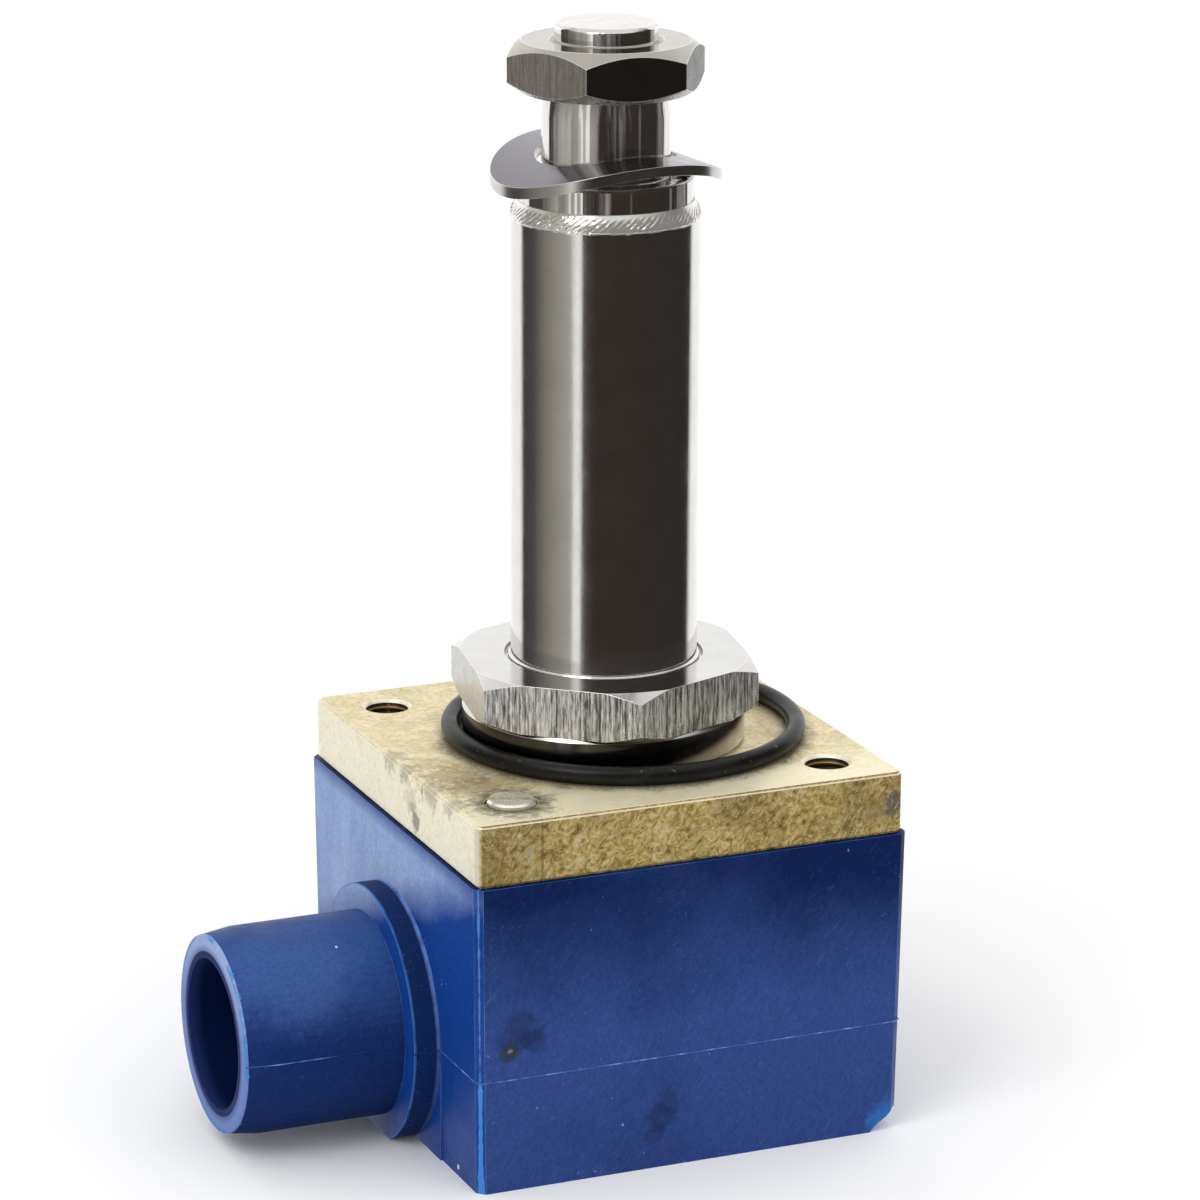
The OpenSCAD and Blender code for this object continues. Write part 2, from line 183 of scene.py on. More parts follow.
def diagonal(tree, a, b):
    # length of the diagonal over a and b
    return calc(tree, "SQRT", plus(tree, calc(tree, "POWER", a, 2.0), calc(tree, "POWER", b, 2.0)))


def noiseOf(tree, place, size, detail=4, rough=0.55, longer=(1, 1, 1), shift=(0, 0, 0), turn=(0, 0, 0),
            swirl=0):
    # size: width of the largest blotches in mm; longer draws them out along the turned axes
    angles = [math.radians(t) for t in turn]
    spot = add(tree, "ShaderNodeMapping", {"Vector": place, "Scale": longer, "Location": shift,
                                           "Rotation": angles}, vector_type="TEXTURE")
    made = add(tree, "ShaderNodeTexNoise", {"Vector": spot.outputs[0], "Scale": 1 / mm / size,
                                            "Detail": detail, "Roughness": rough, "Distortion": swirl})
    return made.outputs["Fac"]


def ramp(tree, value, *stops):
    made = add(tree, "ShaderNodeValToRGB", {"Fac": value})
    points = made.color_ramp.elements
    while len(points) < len(stops):
        points.new(0.5)
    for point, (where, colour) in zip(points, stops):
        point.position = where
        point.color = (*colour, 1) if isinstance(colour, tuple) else (colour, colour, colour, 1)
    return made.outputs["Color"]


def between(tree, value, start, end, first=0.0, last=1.0):
    # straight change from first to last as value goes from start to end
    made = add(tree, "ShaderNodeMapRange", {"Value": value, "From Min": start, "From Max": end,
                                            "To Min": first, "To Max": last})
    return made.outputs["Result"]


def mixColour(tree, amount, a, b, how="MIX"):
    made = tree.nodes.new("ShaderNodeMix")
    made.data_type = "RGBA"
    made.blend_type = how
    made.clamp_factor = True
    for index, value in ((0, amount), (6, a), (7, b)):  # the factor and the two colour sockets
        if isinstance(value, bpy.types.NodeSocket):
            tree.links.new(value, made.inputs[index])
        elif isinstance(value, tuple):
            made.inputs[index].default_value = (*value, 1)
        else:
            made.inputs[index].default_value = value
    return made.outputs[2]


def scratches(tree, place, width, length, much, turn=(0, 0, 0), shift=(0, 0, 0)):
    # thin broken lines along the turned Z axis; width and length in mm, much from 0 to 1
    fine = noiseOf(tree, place, width, 1, 0.4, (1, 1, length / width), shift, turn)
    patch = noiseOf(tree, place, length * 1.5, 2, 0.5, shift=(shift[0] + 0.3, 0, 0))
    line = between(tree, fine, 0.72 - 0.1 * much, 0.76 - 0.1 * much)
    return calc(tree, "MULTIPLY", line, between(tree, patch, 0.45, 0.6), clamp=True)


def facing(tree, axis, start, end):
    # 1 where the surface faces along an axis of the part, 0 where it faces away
    normal = tree.nodes.new("ShaderNodeNewGeometry").outputs["True Normal"]
    return between(tree, axes(tree, normal)[axis], start, end)


def spotAt(tree, place, centre, reach, ragged, size):
    # 1 at a point in mm, falling to 0 at reach; size: width in mm of the tatters in its edge
    wobble = noiseOf(tree, place, size, 3, 0.6)
    point = tuple(c * mm for c in centre)
    away = add(tree, "ShaderNodeVectorMath", {0: place, 1: point}, operation="DISTANCE").outputs["Value"]
    far = calc(tree, "DIVIDE", away, reach * mm)
    far = plus(tree, far, between(tree, wobble, 0.3, 0.7, -ragged, ragged))
    return between(tree, far, 0.55, 1.0, 1.0, 0.0)


def bump(tree, shader, height, distance, strength=1.0, normal=None):
    sockets = {"Height": height, "Distance": distance * mm, "Strength": strength}
    if normal is not None:
        sockets["Normal"] = normal
    made = add(tree, "ShaderNodeBump", sockets)
    tree.links.new(made.outputs["Normal"], shader.inputs["Normal"])
    return made.outputs["Normal"]


def axes(tree, place):
    return add(tree, "ShaderNodeSeparateXYZ", {"Vector": place}).outputs


def edgeWear(tree):
    # 1 on the broken edges that softEdges marks
    return add(tree, "ShaderNodeAttribute", attribute_name="brokenEdge").outputs["Fac"]


# meshes: copies of the frame's pieces with their sharp edges broken
meshCare = {
    "join": 0.001,  # points closer than this are one, mm
    "flat": 0.6,  # faces that turn less than this become one, degrees
    "sharp": 30,  # edges that turn more than this shade sharp
}


def frameCopy(node, name):
    piece = frame["nodes"][node].copy()
    piece.data = frame["nodes"][node].data.copy()
    piece.name = name
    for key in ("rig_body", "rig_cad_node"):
        if key in piece:
            del piece[key]
    piece.parent = None
    piece.matrix_world = Matrix.Identity(4)
    bpy.context.scene.collection.objects.link(piece)
    mesh = bmesh.new()
    mesh.from_mesh(piece.data)
    bmesh.ops.remove_doubles(mesh, verts=mesh.verts, dist=meshCare["join"] * mm)
    bmesh.ops.dissolve_limit(mesh, angle_limit=math.radians(meshCare["flat"]), verts=mesh.verts,
                             edges=mesh.edges)
    mesh.to_mesh(piece.data)
    mesh.free()
    return piece


def softEdges(node, name, width, body, mat, angle=32, cut=None, segments=3, even=True):
    # rounds every edge that turns more than angle and marks the new faces as broken edge
    piece = frameCopy(node, name)
    if cut:
        applyCut(piece, cut)
    piece.data.materials.clear()
    piece.data.materials.append(mat)
    piece.data.materials.append(mat)  # the second slot tells the new faces apart
    soft = piece.modifiers.new("soft", "BEVEL")
    soft.limit_method = "ANGLE"
    soft.angle_limit = math.radians(angle)
    soft.width = width * mm
    soft.segments = segments
    soft.material = 1
    soft.use_clamp_overlap = True
    soft.miter_outer = "MITER_ARC"
    applyAll(piece)
    mark = piece.data.attributes.new("brokenEdge", "FLOAT", "FACE")
    mark.data.foreach_set("value", [1.0 if f.material_index == 1 else 0.0 for f in piece.data.polygons])
    for face in piece.data.polygons:
        face.material_index = 0
    piece.data.materials.pop(index=1)
    shadeSmooth(piece)
    if even:
        # flats keep their own direction, so only the broken edges shade round
        piece.modifiers.new("even", "WEIGHTED_NORMAL").keep_sharp = True
        applyAll(piece)
    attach(piece, body)
    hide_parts(node)
    return piece


def applyAll(piece):
    seen = bpy.context.evaluated_depsgraph_get()
    done = bpy.data.meshes.new_from_object(piece.evaluated_get(seen))
    piece.modifiers.clear()
    piece.data = done


def applyCut(piece, cutter):
    tool = piece.modifiers.new("cut", "BOOLEAN")
    tool.operation = "DIFFERENCE"
    tool.solver = "EXACT"
    tool.object = cutter
    applyAll(piece)
    bpy.data.objects.remove(cutter)


def shadeSmooth(piece):
    piece.data.polygons.foreach_set("use_smooth", [True] * len(piece.data.polygons))
    sharp = math.radians(meshCare["sharp"])
    mesh = bmesh.new()
    mesh.from_mesh(piece.data)
    for edge in mesh.edges:
        edge.smooth = not edge.is_manifold or edge.calc_face_angle(0) < sharp
    mesh.to_mesh(piece.data)
    mesh.free()


def meshPiece(name, mesh, mat, body):
    data = bpy.data.meshes.new(name)
    mesh.to_mesh(data)
    mesh.free()
    piece = bpy.data.objects.new(name, data)
    data.materials.append(mat)
    bpy.context.scene.collection.objects.link(piece)
    shadeSmooth(piece)
    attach(piece, body)
    return piece


def paint(node, mat):
    piece = frame["nodes"][node]
    piece.data.materials.clear()
    piece.data.materials.append(mat)


def biteBall(place, radius, ragged):
    # a ragged ball that bites a broken corner off a piece, all in mm
    mesh = bmesh.new()
    bmesh.ops.create_icosphere(mesh, subdivisions=5, radius=radius * mm)
    for vert in mesh.verts:
        push = noise.noise(vert.co * 900) + noise.noise(vert.co * 2400) * 0.5
        vert.co += vert.co.normalized() * push * ragged * mm
    data = bpy.data.meshes.new("bite")
    mesh.to_mesh(data)
    mesh.free()
    ball = bpy.data.objects.new("bite", data)
    ball.location = Vector(place) * mm
    bpy.context.scene.collection.objects.link(ball)
    bpy.context.view_layer.update()
    return ball


# moulded body: its shape as far as its finish follows it, in mm
mould = {
    "planeZ": 11.2,  # height of the parting plane and of the spigots' axis
    "sideAtPlane": 21.92,  # half width of the body there
    "corner": 0.5,
    "stopRoot": 22.15,  # the hose stop, out from the valve's middle
    "stopFront": 24.6,
    "stopR": 12.5,
    "spigotR": 10.0,
    "taperStart": 37.3,
    "mouthR": 9.55,
    "boreR": 7.9,
}

bodyLook = {
    "edge": 0.15,  # rounding of the moulded edges, mm
    "bite": ((29.1, -24.9, -9.1), 14.0, 0.5),  # the ball that breaks the front corner: place, radius, ragged
    "rough": 0.42,
    "specular": 0.11,
    "specularTint": (0.50, 0.65, 1.0, 1),
    # painted light: the body's blue turns lighter from the top down, between upperZ and lowerZ
    "upperBlue": (0.0028, 0.0120, 0.070),
    "lowerBlue": (0.0270, 0.0560, 0.205),
    "upperZ": 29,  # heights where the upper blue is full and where it has gone, mm
    "lowerZ": 14,
    "leftSideLitBlue": (0.0050, 0.0420, 0.230),  # the inlet's side: painted light, a lighter blue on the faces that look left
    "reflectionPale": (0.335, 0.425, 0.630),  # painted reflection: pale on the upper part of that side
    "reflectionDeep": (0.100, 0.190, 0.430),
    "reflectionStart": 19.4,  # it sets in and is full at these heights over the inlet's axis line, mm
    "reflectionFull": 24.2,
    "reflectionSlant": 0.38,
    "reflectionEnd": (28.7, 30.2),  # it thins out again under the plate
    "stopBlue": (0.0040, 0.0180, 0.088),  # rim of the hose stop; also painted shade on the faces that look down
    "spigotBlue": (0.0055, 0.0190, 0.098),
    # painted sheen on the spigots' upward faces
    "spigotTopSheen": (0.026, 0.068, 0.235),
    "highlightPatch": ((-34.6, -5.4, 19.4), 7.5, 0.22, 2.5),  # painted highlight: a soft pale patch on the inlet
    "highlightBlue": (0.085, 0.150, 0.360),
    "wornBlue": (0.050, 0.210, 0.620),
    # pale on the broken edges: partly rubbed wear, partly a painted highlight
    "paleWearGlint": (0.230, 0.400, 0.800),
    "cutBlue": (0.150, 0.210, 0.450),  # sawn face of the spigots' mouths
    "cutHaze": (0.310, 0.390, 0.620),  # its upper part
    "cutRise": (12, 19),  # heights over which one turns into the other, mm
    "cutRoundShade": (0.030, 0.055, 0.220),  # painted shade where it rounds into the bore
    "tornBlue": (0.050, 0.235, 0.560),  # chipped outer edge of the mouths
    "leadInShadeBlue": (0.011, 0.022, 0.105),
    "boreShadeBlue": (0.0010, 0.0065, 0.046),
    "dust": (0.200, 0.290, 0.560),
    "chipPale": (0.50, 0.62, 0.85),
    "smudge": (0.005, 0.008, 0.030),
    # place, reach, strength
    "smudges": (((-17.9, -21.9, 15.7), 2.5, 0.40), ((-16.4, -21.9, 14.7), 1.7, 0.30),
                ((-2.4, -21.9, 6.7), 1.3, 0.30), ((-3.4, -21.9, 5.0), 1.7, 0.40),
                ((-3.8, -21.9, 3.4), 1.3, 0.25)),
    "grit": (0.030, 0.034, 0.028),  # in the larger smudge
    "gritSpot": ((-18.9, -21.9, 14.1), 1.05, 0.5, 0.7),
    "gritCore": (0.13, 0.16, 0.15),
    "coreSpot": ((-18.7, -21.9, 14.1), 0.30, 0.3, 0.4),
    "speck": (0.65, 0.75, 0.92),
    "specks": (((-21.9, -16.5, 0.9), 0.30), ((-24.6, -7.9, 13.9), 0.20), ((-29.5, -4.6, 20.0), 0.17)),
    "hairLine": (0.070, 0.190, 0.520),  # the front left corner, above and below the parting plane
    "rubLine": (0.060, 0.240, 0.640),
    "rubTop": 11.15,
    "hairHalf": 0.07,  # half widths of the line and what the rubbed part and the torn foot add, mm
    "rubHalf": 0.17,
    "footHalf": 0.25,
    "foot": (0.4, 3.2),  # the torn foot narrows between these heights
    "cornerX": -21,  # only what lies left of this is that corner
    "brokenBlue": (0.028, 0.140, 0.430),  # round the broken corner
    "brokenSpot": ((21.0, -21.0, 0.8), 3.0, 0.20, 1.0),
    "stopEdge": (0.045, 0.170, 0.520),
    "stopRootHighlight": (0.150, 0.270, 0.600),
}


def spigotRadius(tree, x, y, z):
    # distance from the nearer spigot's axis, mm
    rise = calc(tree, "SUBTRACT", z, mould["planeZ"] * mm)
    aside = calc(tree, "MINIMUM", calc(tree, "ABSOLUTE", x), calc(tree, "ABSOLUTE", y))
    return times(tree, diagonal(tree, rise, aside), 1 / mm)


def bodyRegions(tree, place):
    # what the body's finish is laid out with: places, directions and one broad cloud
    x, y, z = axes(tree, place)
    on = {"x": x, "y": y, "z": z}
    on["reach"] = most(tree, times(tree, x, -1.0), y)  # how far out along the inlet or the outlet
    on["radius"] = spigotRadius(tree, x, y, z)
    on["stop"] = over(tree, on["reach"], (mould["stopRoot"] + 0.15) * mm)
    on["spigot"] = over(tree, on["reach"], (mould["stopFront"] - 0.05) * mm)
    on["left"] = facing(tree, "X", -0.55, -0.82)
    on["under"] = facing(tree, "Z", -0.15, -0.75)
    on["upward"] = facing(tree, "Z", 0.15, 0.85)
    on["cloud"] = noiseOf(tree, place, 16, 4, 0.55)
    fade = between(tree, z, bodyLook["upperZ"] * mm, bodyLook["lowerZ"] * mm)
    wander = between(tree, on["cloud"], 0.3, 0.7, -0.28, 0.28)
    on["low"] = calc(tree, "ADD", fade, wander, clamp=True)
    return on


def bodyColour(tree, place, on):
    look = bodyLook
    # painted light: darker blue at the top, lighter lower down
    colour = mixColour(tree, on["low"], look["upperBlue"], look["lowerBlue"])
    # the spigots' skin: a painted sheen on the upward faces, duller below
    brighter = tuple(c * 1.3 for c in look["spigotBlue"])
    skin = mixColour(tree, between(tree, on["cloud"], 0.35, 0.65), look["spigotBlue"], brighter)
    topSheen = times(tree, on["upward"], between(tree, on["cloud"], 0.25, 0.6, 0.5, 1.0))
    skin = mixColour(tree, topSheen, skin, look["spigotTopSheen"])
    # painted highlight: a soft pale patch on the inlet
    patch = spotAt(tree, place, *look["highlightPatch"])
    skin = mixColour(tree, times(tree, patch, 0.24), skin, look["highlightBlue"])
    colour = mixColour(tree, on["stop"], colour, look["stopBlue"])
    colour = mixColour(tree, on["spigot"], colour, skin)
    # painted shade: the faces that look down get the rim's dark blue
    colour = mixColour(tree, times(tree, on["under"], 0.7), colour, look["stopBlue"])
    # painted light: the faces that look left get a lighter blue
    colour = mixColour(tree, on["left"], colour, look["leftSideLitBlue"])
    # painted reflection: pale on the upper part of the inlet's side, ending in a slanting edge over the hose
    # stop
    soft = noiseOf(tree, place, 7, 4, 0.6, shift=(0.2, 0, 0))
    slant = plus(tree, on["z"], times(tree, on["y"], look["reflectionSlant"]))
    slant = plus(tree, slant, between(tree, soft, 0.3, 0.7, -0.8 * mm, 0.8 * mm))
    thin, none = look["reflectionEnd"]
    reflected = times(tree, on["left"], between(tree, slant, look["reflectionStart"] * mm, look["reflectionFull"] * mm),
                 between(tree, on["z"], none * mm, thin * mm, 0.25, 1.0))
    reflectedTint = mixColour(tree, noiseOf(tree, place, 5, 4, 0.6, (1, 1, 4)), look["reflectionPale"], look["reflectionDeep"])
    return mixColour(tree, reflected, colour, reflectedTint)


def handlingMarks(tree, place, on, colour):
    # fibrous mottling, then flecks, scratches, small chips and smudges; gives the scratches too
    look = bodyLook
    fibre = plus(tree, noiseOf(tree, place, 0.30, 3, 0.6, (1, 1, 3), turn=(0, 38, 0)),
                 noiseOf(tree, place, 0.28, 3, 0.6, (1, 1, 3), (0.3, 0, 0), (20, -25, 0)))
    mottle = ramp(tree, times(tree, fibre, 0.5), (0.36, 0.85), (0.64, 1.17))
    colour = mixColour(tree, 1.0, colour, mottle, "MULTIPLY")
    # marks show less on the dark upper part and on the spigots
    light = times(tree, between(tree, on["low"], 0.0, 1.0, 0.45, 1.0),
                  between(tree, on["spigot"], 0.0, 1.0, 1.0, 0.35))
    patch = between(tree, noiseOf(tree, place, 9, 3, 0.5, shift=(0.5, 0, 0)), 0.42, 0.62)
    flecks = noiseOf(tree, place, 0.42, 2, 0.5, (1, 1, 1.6), turn=(0, 50, 0))
    flecks = ramp(tree, flecks, (0.66, 0.0), (0.72, 1.0))
    colour = mixColour(tree, times(tree, flecks, patch, light, 0.12), colour, look["dust"])
    lines = most(tree, scratches(tree, place, 0.13, 3.0, 0.35, (0, 40, 0)),
                 scratches(tree, place, 0.12, 2.2, 0.40, (0, -55, 20), (0.1, 0, 0)),
                 scratches(tree, place, 0.12, 3.5, 0.25, (10, 8, 0), (0.2, 0, 0)))
    colour = mixColour(tree, times(tree, lines, light, 0.14), colour, look["dust"])
    chips = ramp(tree, noiseOf(tree, place, 0.55, 1, 0.5, shift=(0.9, 0, 0)), (0.795, 0.0), (0.81, 1.0))
    colour = mixColour(tree, times(tree, chips, light, 0.40), colour, look["chipPale"])
    for centre, reach, much in look["smudges"]:
        spot = spotAt(tree, place, centre, reach, 0.30, 1.6)
        colour = mixColour(tree, times(tree, spot, much), colour, look["smudge"])
    grit = spotAt(tree, place, *look["gritSpot"])
    colour = mixColour(tree, times(tree, grit, 0.75), colour, look["grit"])
    colour = mixColour(tree, spotAt(tree, place, *look["coreSpot"]), colour, look["gritCore"])
    for centre, reach in look["specks"]:
        colour = mixColour(tree, spotAt(tree, place, centre, reach, 0.3, 0.5), colour, look["speck"])
    return colour, lines


def rubbedEdges(tree, place, on, colour):
    look = bodyLook
    rubbed = ramp(tree, noiseOf(tree, place, 2.0, 4, 0.65, shift=(0.6, 0, 0)), (0.32, 0.35), (0.55, 1.0))
    colour = mixColour(tree, times(tree, edgeWear(tree), rubbed), colour, look["wornBlue"])
    # painted highlight: pale glints along the broken edges, over the rubbed wear
    glint = ramp(tree, noiseOf(tree, place, 5, 3, 0.6, shift=(0.35, 0, 0)), (0.44, 0.0), (0.56, 0.85))
    colour = mixColour(tree, times(tree, edgeWear(tree), glint), colour, look["paleWearGlint"])
    # the front left corner: a pale hair line, widening below the parting plane and torn at the foot
    x, y, z = on["x"], on["y"], on["z"]
    aside = calc(tree, "ABSOLUTE", calc(tree, "SUBTRACT", x, y))
    ragged = between(tree, noiseOf(tree, place, 1.4, 4, 0.65), 0.3, 0.7, -0.14 * mm, 0.14 * mm)
    lowPart = below(tree, z, look["rubTop"] * mm)
    footLow, footHigh = look["foot"]
    foot = between(tree, z, footLow * mm, footHigh * mm, look["footHalf"] * mm, 0.0)
    wide = plus(tree, times(tree, lowPart, look["rubHalf"] * mm), look["hairHalf"] * mm, foot, ragged)
    rub = between(tree, calc(tree, "SUBTRACT", aside, wide), 0.10 * mm, 0.0)
    rub = times(tree, rub, below(tree, x, look["cornerX"] * mm), 0.8)
    colour = mixColour(tree, rub, colour, mixColour(tree, lowPart, look["hairLine"], look["rubLine"]))
    broken = spotAt(tree, place, *look["brokenSpot"])
    colour = mixColour(tree, times(tree, broken, 0.85), colour, look["brokenBlue"])
    # the hose stop's front edge is rubbed to a pale line; along its root runs a painted highlight, brightest
    # at the top and fading down
    onRim = times(tree, over(tree, on["radius"], mould["stopR"] - 0.17),
                  below(tree, on["radius"], mould["stopR"] + 0.15))
    front, root = mould["stopFront"], mould["stopRoot"]
    nearFront = between(tree, on["reach"], (front - 0.24) * mm, (front - 0.14) * mm)
    nearRoot = between(tree, on["reach"], (root + 0.32) * mm, (root + 0.10) * mm)
    nearRoot = times(tree, nearRoot, over(tree, on["reach"], (root - 0.15) * mm),
                     between(tree, z, 10 * mm, 20 * mm, 0.25, 1.0))
    colour = mixColour(tree, times(tree, onRim, nearFront, rubbed, 0.60), colour, look["stopEdge"])
    return mixColour(tree, times(tree, onRim, nearRoot, rubbed, 0.80), colour, look["stopRootHighlight"])


def sawnMouths(tree, place, on, colour):
    # pale sawn faces with painted shade where they round into the bore, chipped outside, and painted shade
    # down the bores, lighter near the mouth; gives both masks too
    look = bodyLook
    reach, radius, boreR, mouth = on["reach"], on["radius"], mould["boreR"], cadHigh.y
    sawn = over(tree, reach, mouth - 0.25 * mm)
    start, end = look["cutRise"]
    upper = between(tree, on["z"], start * mm, end * mm)
    dusty = mixColour(tree, upper, look["cutBlue"], look["cutHaze"])
    blotch = times(tree, noiseOf(tree, place, 1.0, 5, 0.65), 0.5)
    dusty = mixColour(tree, blotch, dusty, look["cutBlue"])
    dusty = mixColour(tree, between(tree, radius, boreR - 0.25, boreR + 0.75), look["cutRoundShade"], dusty)
    colour = mixColour(tree, sawn, colour, dusty)
    crumbs = between(tree, noiseOf(tree, place, 0.7, 4, 0.7), 0.35, 0.65, -0.55, 0.35)
    torn = plus(tree, between(tree, reach, mouth - 0.75 * mm, mouth), crumbs)
    torn = times(tree, between(tree, torn, 0.55, 0.75), over(tree, radius, mould["mouthR"] - 0.3),
                 between(tree, noiseOf(tree, place, 5, 2, 0.5, shift=(0.15, 0, 0)), 0.46, 0.60))
    colour = mixColour(tree, torn, colour, look["tornBlue"])
    # painted shade down the bores, lighter near the mouth
    leadIn = between(tree, reach, mouth - 1.4 * mm, mouth - 0.4 * mm)
    boreShade = mixColour(tree, leadIn, look["boreShadeBlue"], look["leadInShadeBlue"])
    inside = times(tree, below(tree, radius, boreR + 0.06), over(tree, reach, 10 * mm))
    return mixColour(tree, inside, colour, boreShade), sawn, torn


def bluePlastic():
    mat, tree, shader, place = startMaterial("blueMoulding")
    on = bodyRegions(tree, place)
    colour = bodyColour(tree, place, on)
    colour, lines = handlingMarks(tree, place, on, colour)
    colour = rubbedEdges(tree, place, on, colour)
    colour, sawn, torn = sawnMouths(tree, place, on, colour)
    tree.links.new(colour, shader.inputs["Base Color"])
    rough = between(tree, noiseOf(tree, place, 4, 4, 0.6), 0.3, 0.7,
                    bodyLook["rough"] - 0.06, bodyLook["rough"] + 0.10)
    rough = plus(tree, rough, times(tree, lines, 0.15), times(tree, sawn, 0.25),
                 times(tree, on["under"], 0.5))
    tree.links.new(calc(tree, "MINIMUM", rough, 1.0), shader.inputs["Roughness"])
    shader.inputs["Specular IOR Level"].default_value = bodyLook["specular"]
    shader.inputs["Specular Tint"].default_value = bodyLook["specularTint"]
    normal = bump(tree, shader, noiseOf(tree, place, 0.35, 3, 0.6), 0.006, 0.5)
    normal = bump(tree, shader, noiseOf(tree, place, 11, 2, 0.4), 0.08, 0.5, normal)
    normal = bump(tree, shader, lines, 0.012, 0.6, normal)
    bump(tree, shader, times(tree, torn, noiseOf(tree, place, 0.4, 4, 0.7)), 0.15, 0.8, normal)
    return mat


softEdges("valve_body", "mouldedBody", bodyLook["edge"], "housing", bluePlastic(),
          cut=biteBall(*bodyLook["bite"]), even=False)
print("moulded body made")


# the flash that the mould left along its parting plane
flash = {
    "height": 0.06,  # proud of the surface, mm
    "width": 0.20,
    "root": 0.15,  # how far its foot is sunk into the body
    "blue": (0.040, 0.120, 0.400),
    "faint": (31, 35),  # on the spigots it can be seen from here on, out from the valve's middle
    "rough": 0.5,
    "specular": 0.2,
}


def flashRoutes():
    # two lines round the body at the parting plane, seen from above: near side and far side
    side, c, mouth = mould["sideAtPlane"], mould["corner"], cadHigh.y / mm
    # one side of a spigot, along +X, from the body's face out to the mouth
    out = [(side, mould["stopR"]), (mould["stopFront"], mould["stopR"]),
           (mould["stopFront"], mould["spigotR"]), (mould["taperStart"], mould["spigotR"]),
           (mouth, mould["mouthR"])]
    inletNear = [(-px, -py) for px, py in out]
    inletFar = [(-px, py) for px, py in out]
    outletLeft = [(-py, px) for px, py in out]
    outletRight = [(py, px) for px, py in out]
    nearCorners = [(-side, -side + c), (-side + c, -side), (side - c, -side), (side, -side + c),
                   (side, side - c), (side - c, side)]
    farCorner = [(-side, side - c), (-side + c, side)]
    return inletNear[::-1] + nearCorners + outletRight, inletFar[::-1] + farCorner + outletLeft


def partingLine():
    half, proud, root = flash["width"] / 2, flash["height"], -flash["root"]
    section = [(root, -half), (proud * 0.75, -half * 0.45), (proud, 0), (proud * 0.75, half * 0.45),
               (root, half)]
    mesh = bmesh.new()
    for route, outward in zip(flashRoutes(), (1, -1)):  # outward is to the right of the near route
        rings = []
        for i, (px, py) in enumerate(route):
            before = Vector(route[max(i - 1, 0)])
            after = Vector(route[min(i + 1, len(route) - 1)])
            along = (after - before).normalized()
            away = Vector((along.y, -along.x)) * outward
            rings.append([mesh.verts.new(((px + away.x * o) * mm, (py + away.y * o) * mm,
                                          (mould["planeZ"] + h) * mm)) for o, h in section])
        for a, b in zip(rings, rings[1:]):
            for k in range(len(a)):
                n = (k + 1) % len(a)
                mesh.faces.new((a[k], a[n], b[n], b[k]))
        mesh.faces.new(rings[0][::-1])
        mesh.faces.new(rings[-1])
    bmesh.ops.recalc_face_normals(mesh, faces=mesh.faces)
    meshPiece("partingLine", mesh, blueFlash(), "housing")


def blueFlash():
    mat, tree, shader, place = startMaterial("blueFlash")
    broken = ramp(tree, noiseOf(tree, place, 2.2, 5, 0.65), (0.34, bodyLook["lowerBlue"]),
                  (0.50, flash["blue"]), (0.66, bodyLook["paleWearGlint"]))
    # hardly seen on the spigots, except near their mouths
    x, y, z = axes(tree, place)
    reach = most(tree, times(tree, x, -1.0), y)
    dim, clear = flash["faint"]
    offFace = between(tree, reach, (mould["stopRoot"] - 0.15) * mm, (mould["stopRoot"] + 0.05) * mm)
    faint = times(tree, offFace, between(tree, reach, clear * mm, dim * mm))
    broken = mixColour(tree, times(tree, faint, 0.95), broken, bodyLook["spigotBlue"])
    tree.links.new(broken, shader.inputs["Base Color"])
    shader.inputs["Roughness"].default_value = flash["rough"]
    shader.inputs["Specular IOR Level"].default_value = flash["specular"]
    bump(tree, shader, noiseOf(tree, place, 0.4, 3, 0.6), 0.01)
    return mat


partingLine()
print("parting line made")


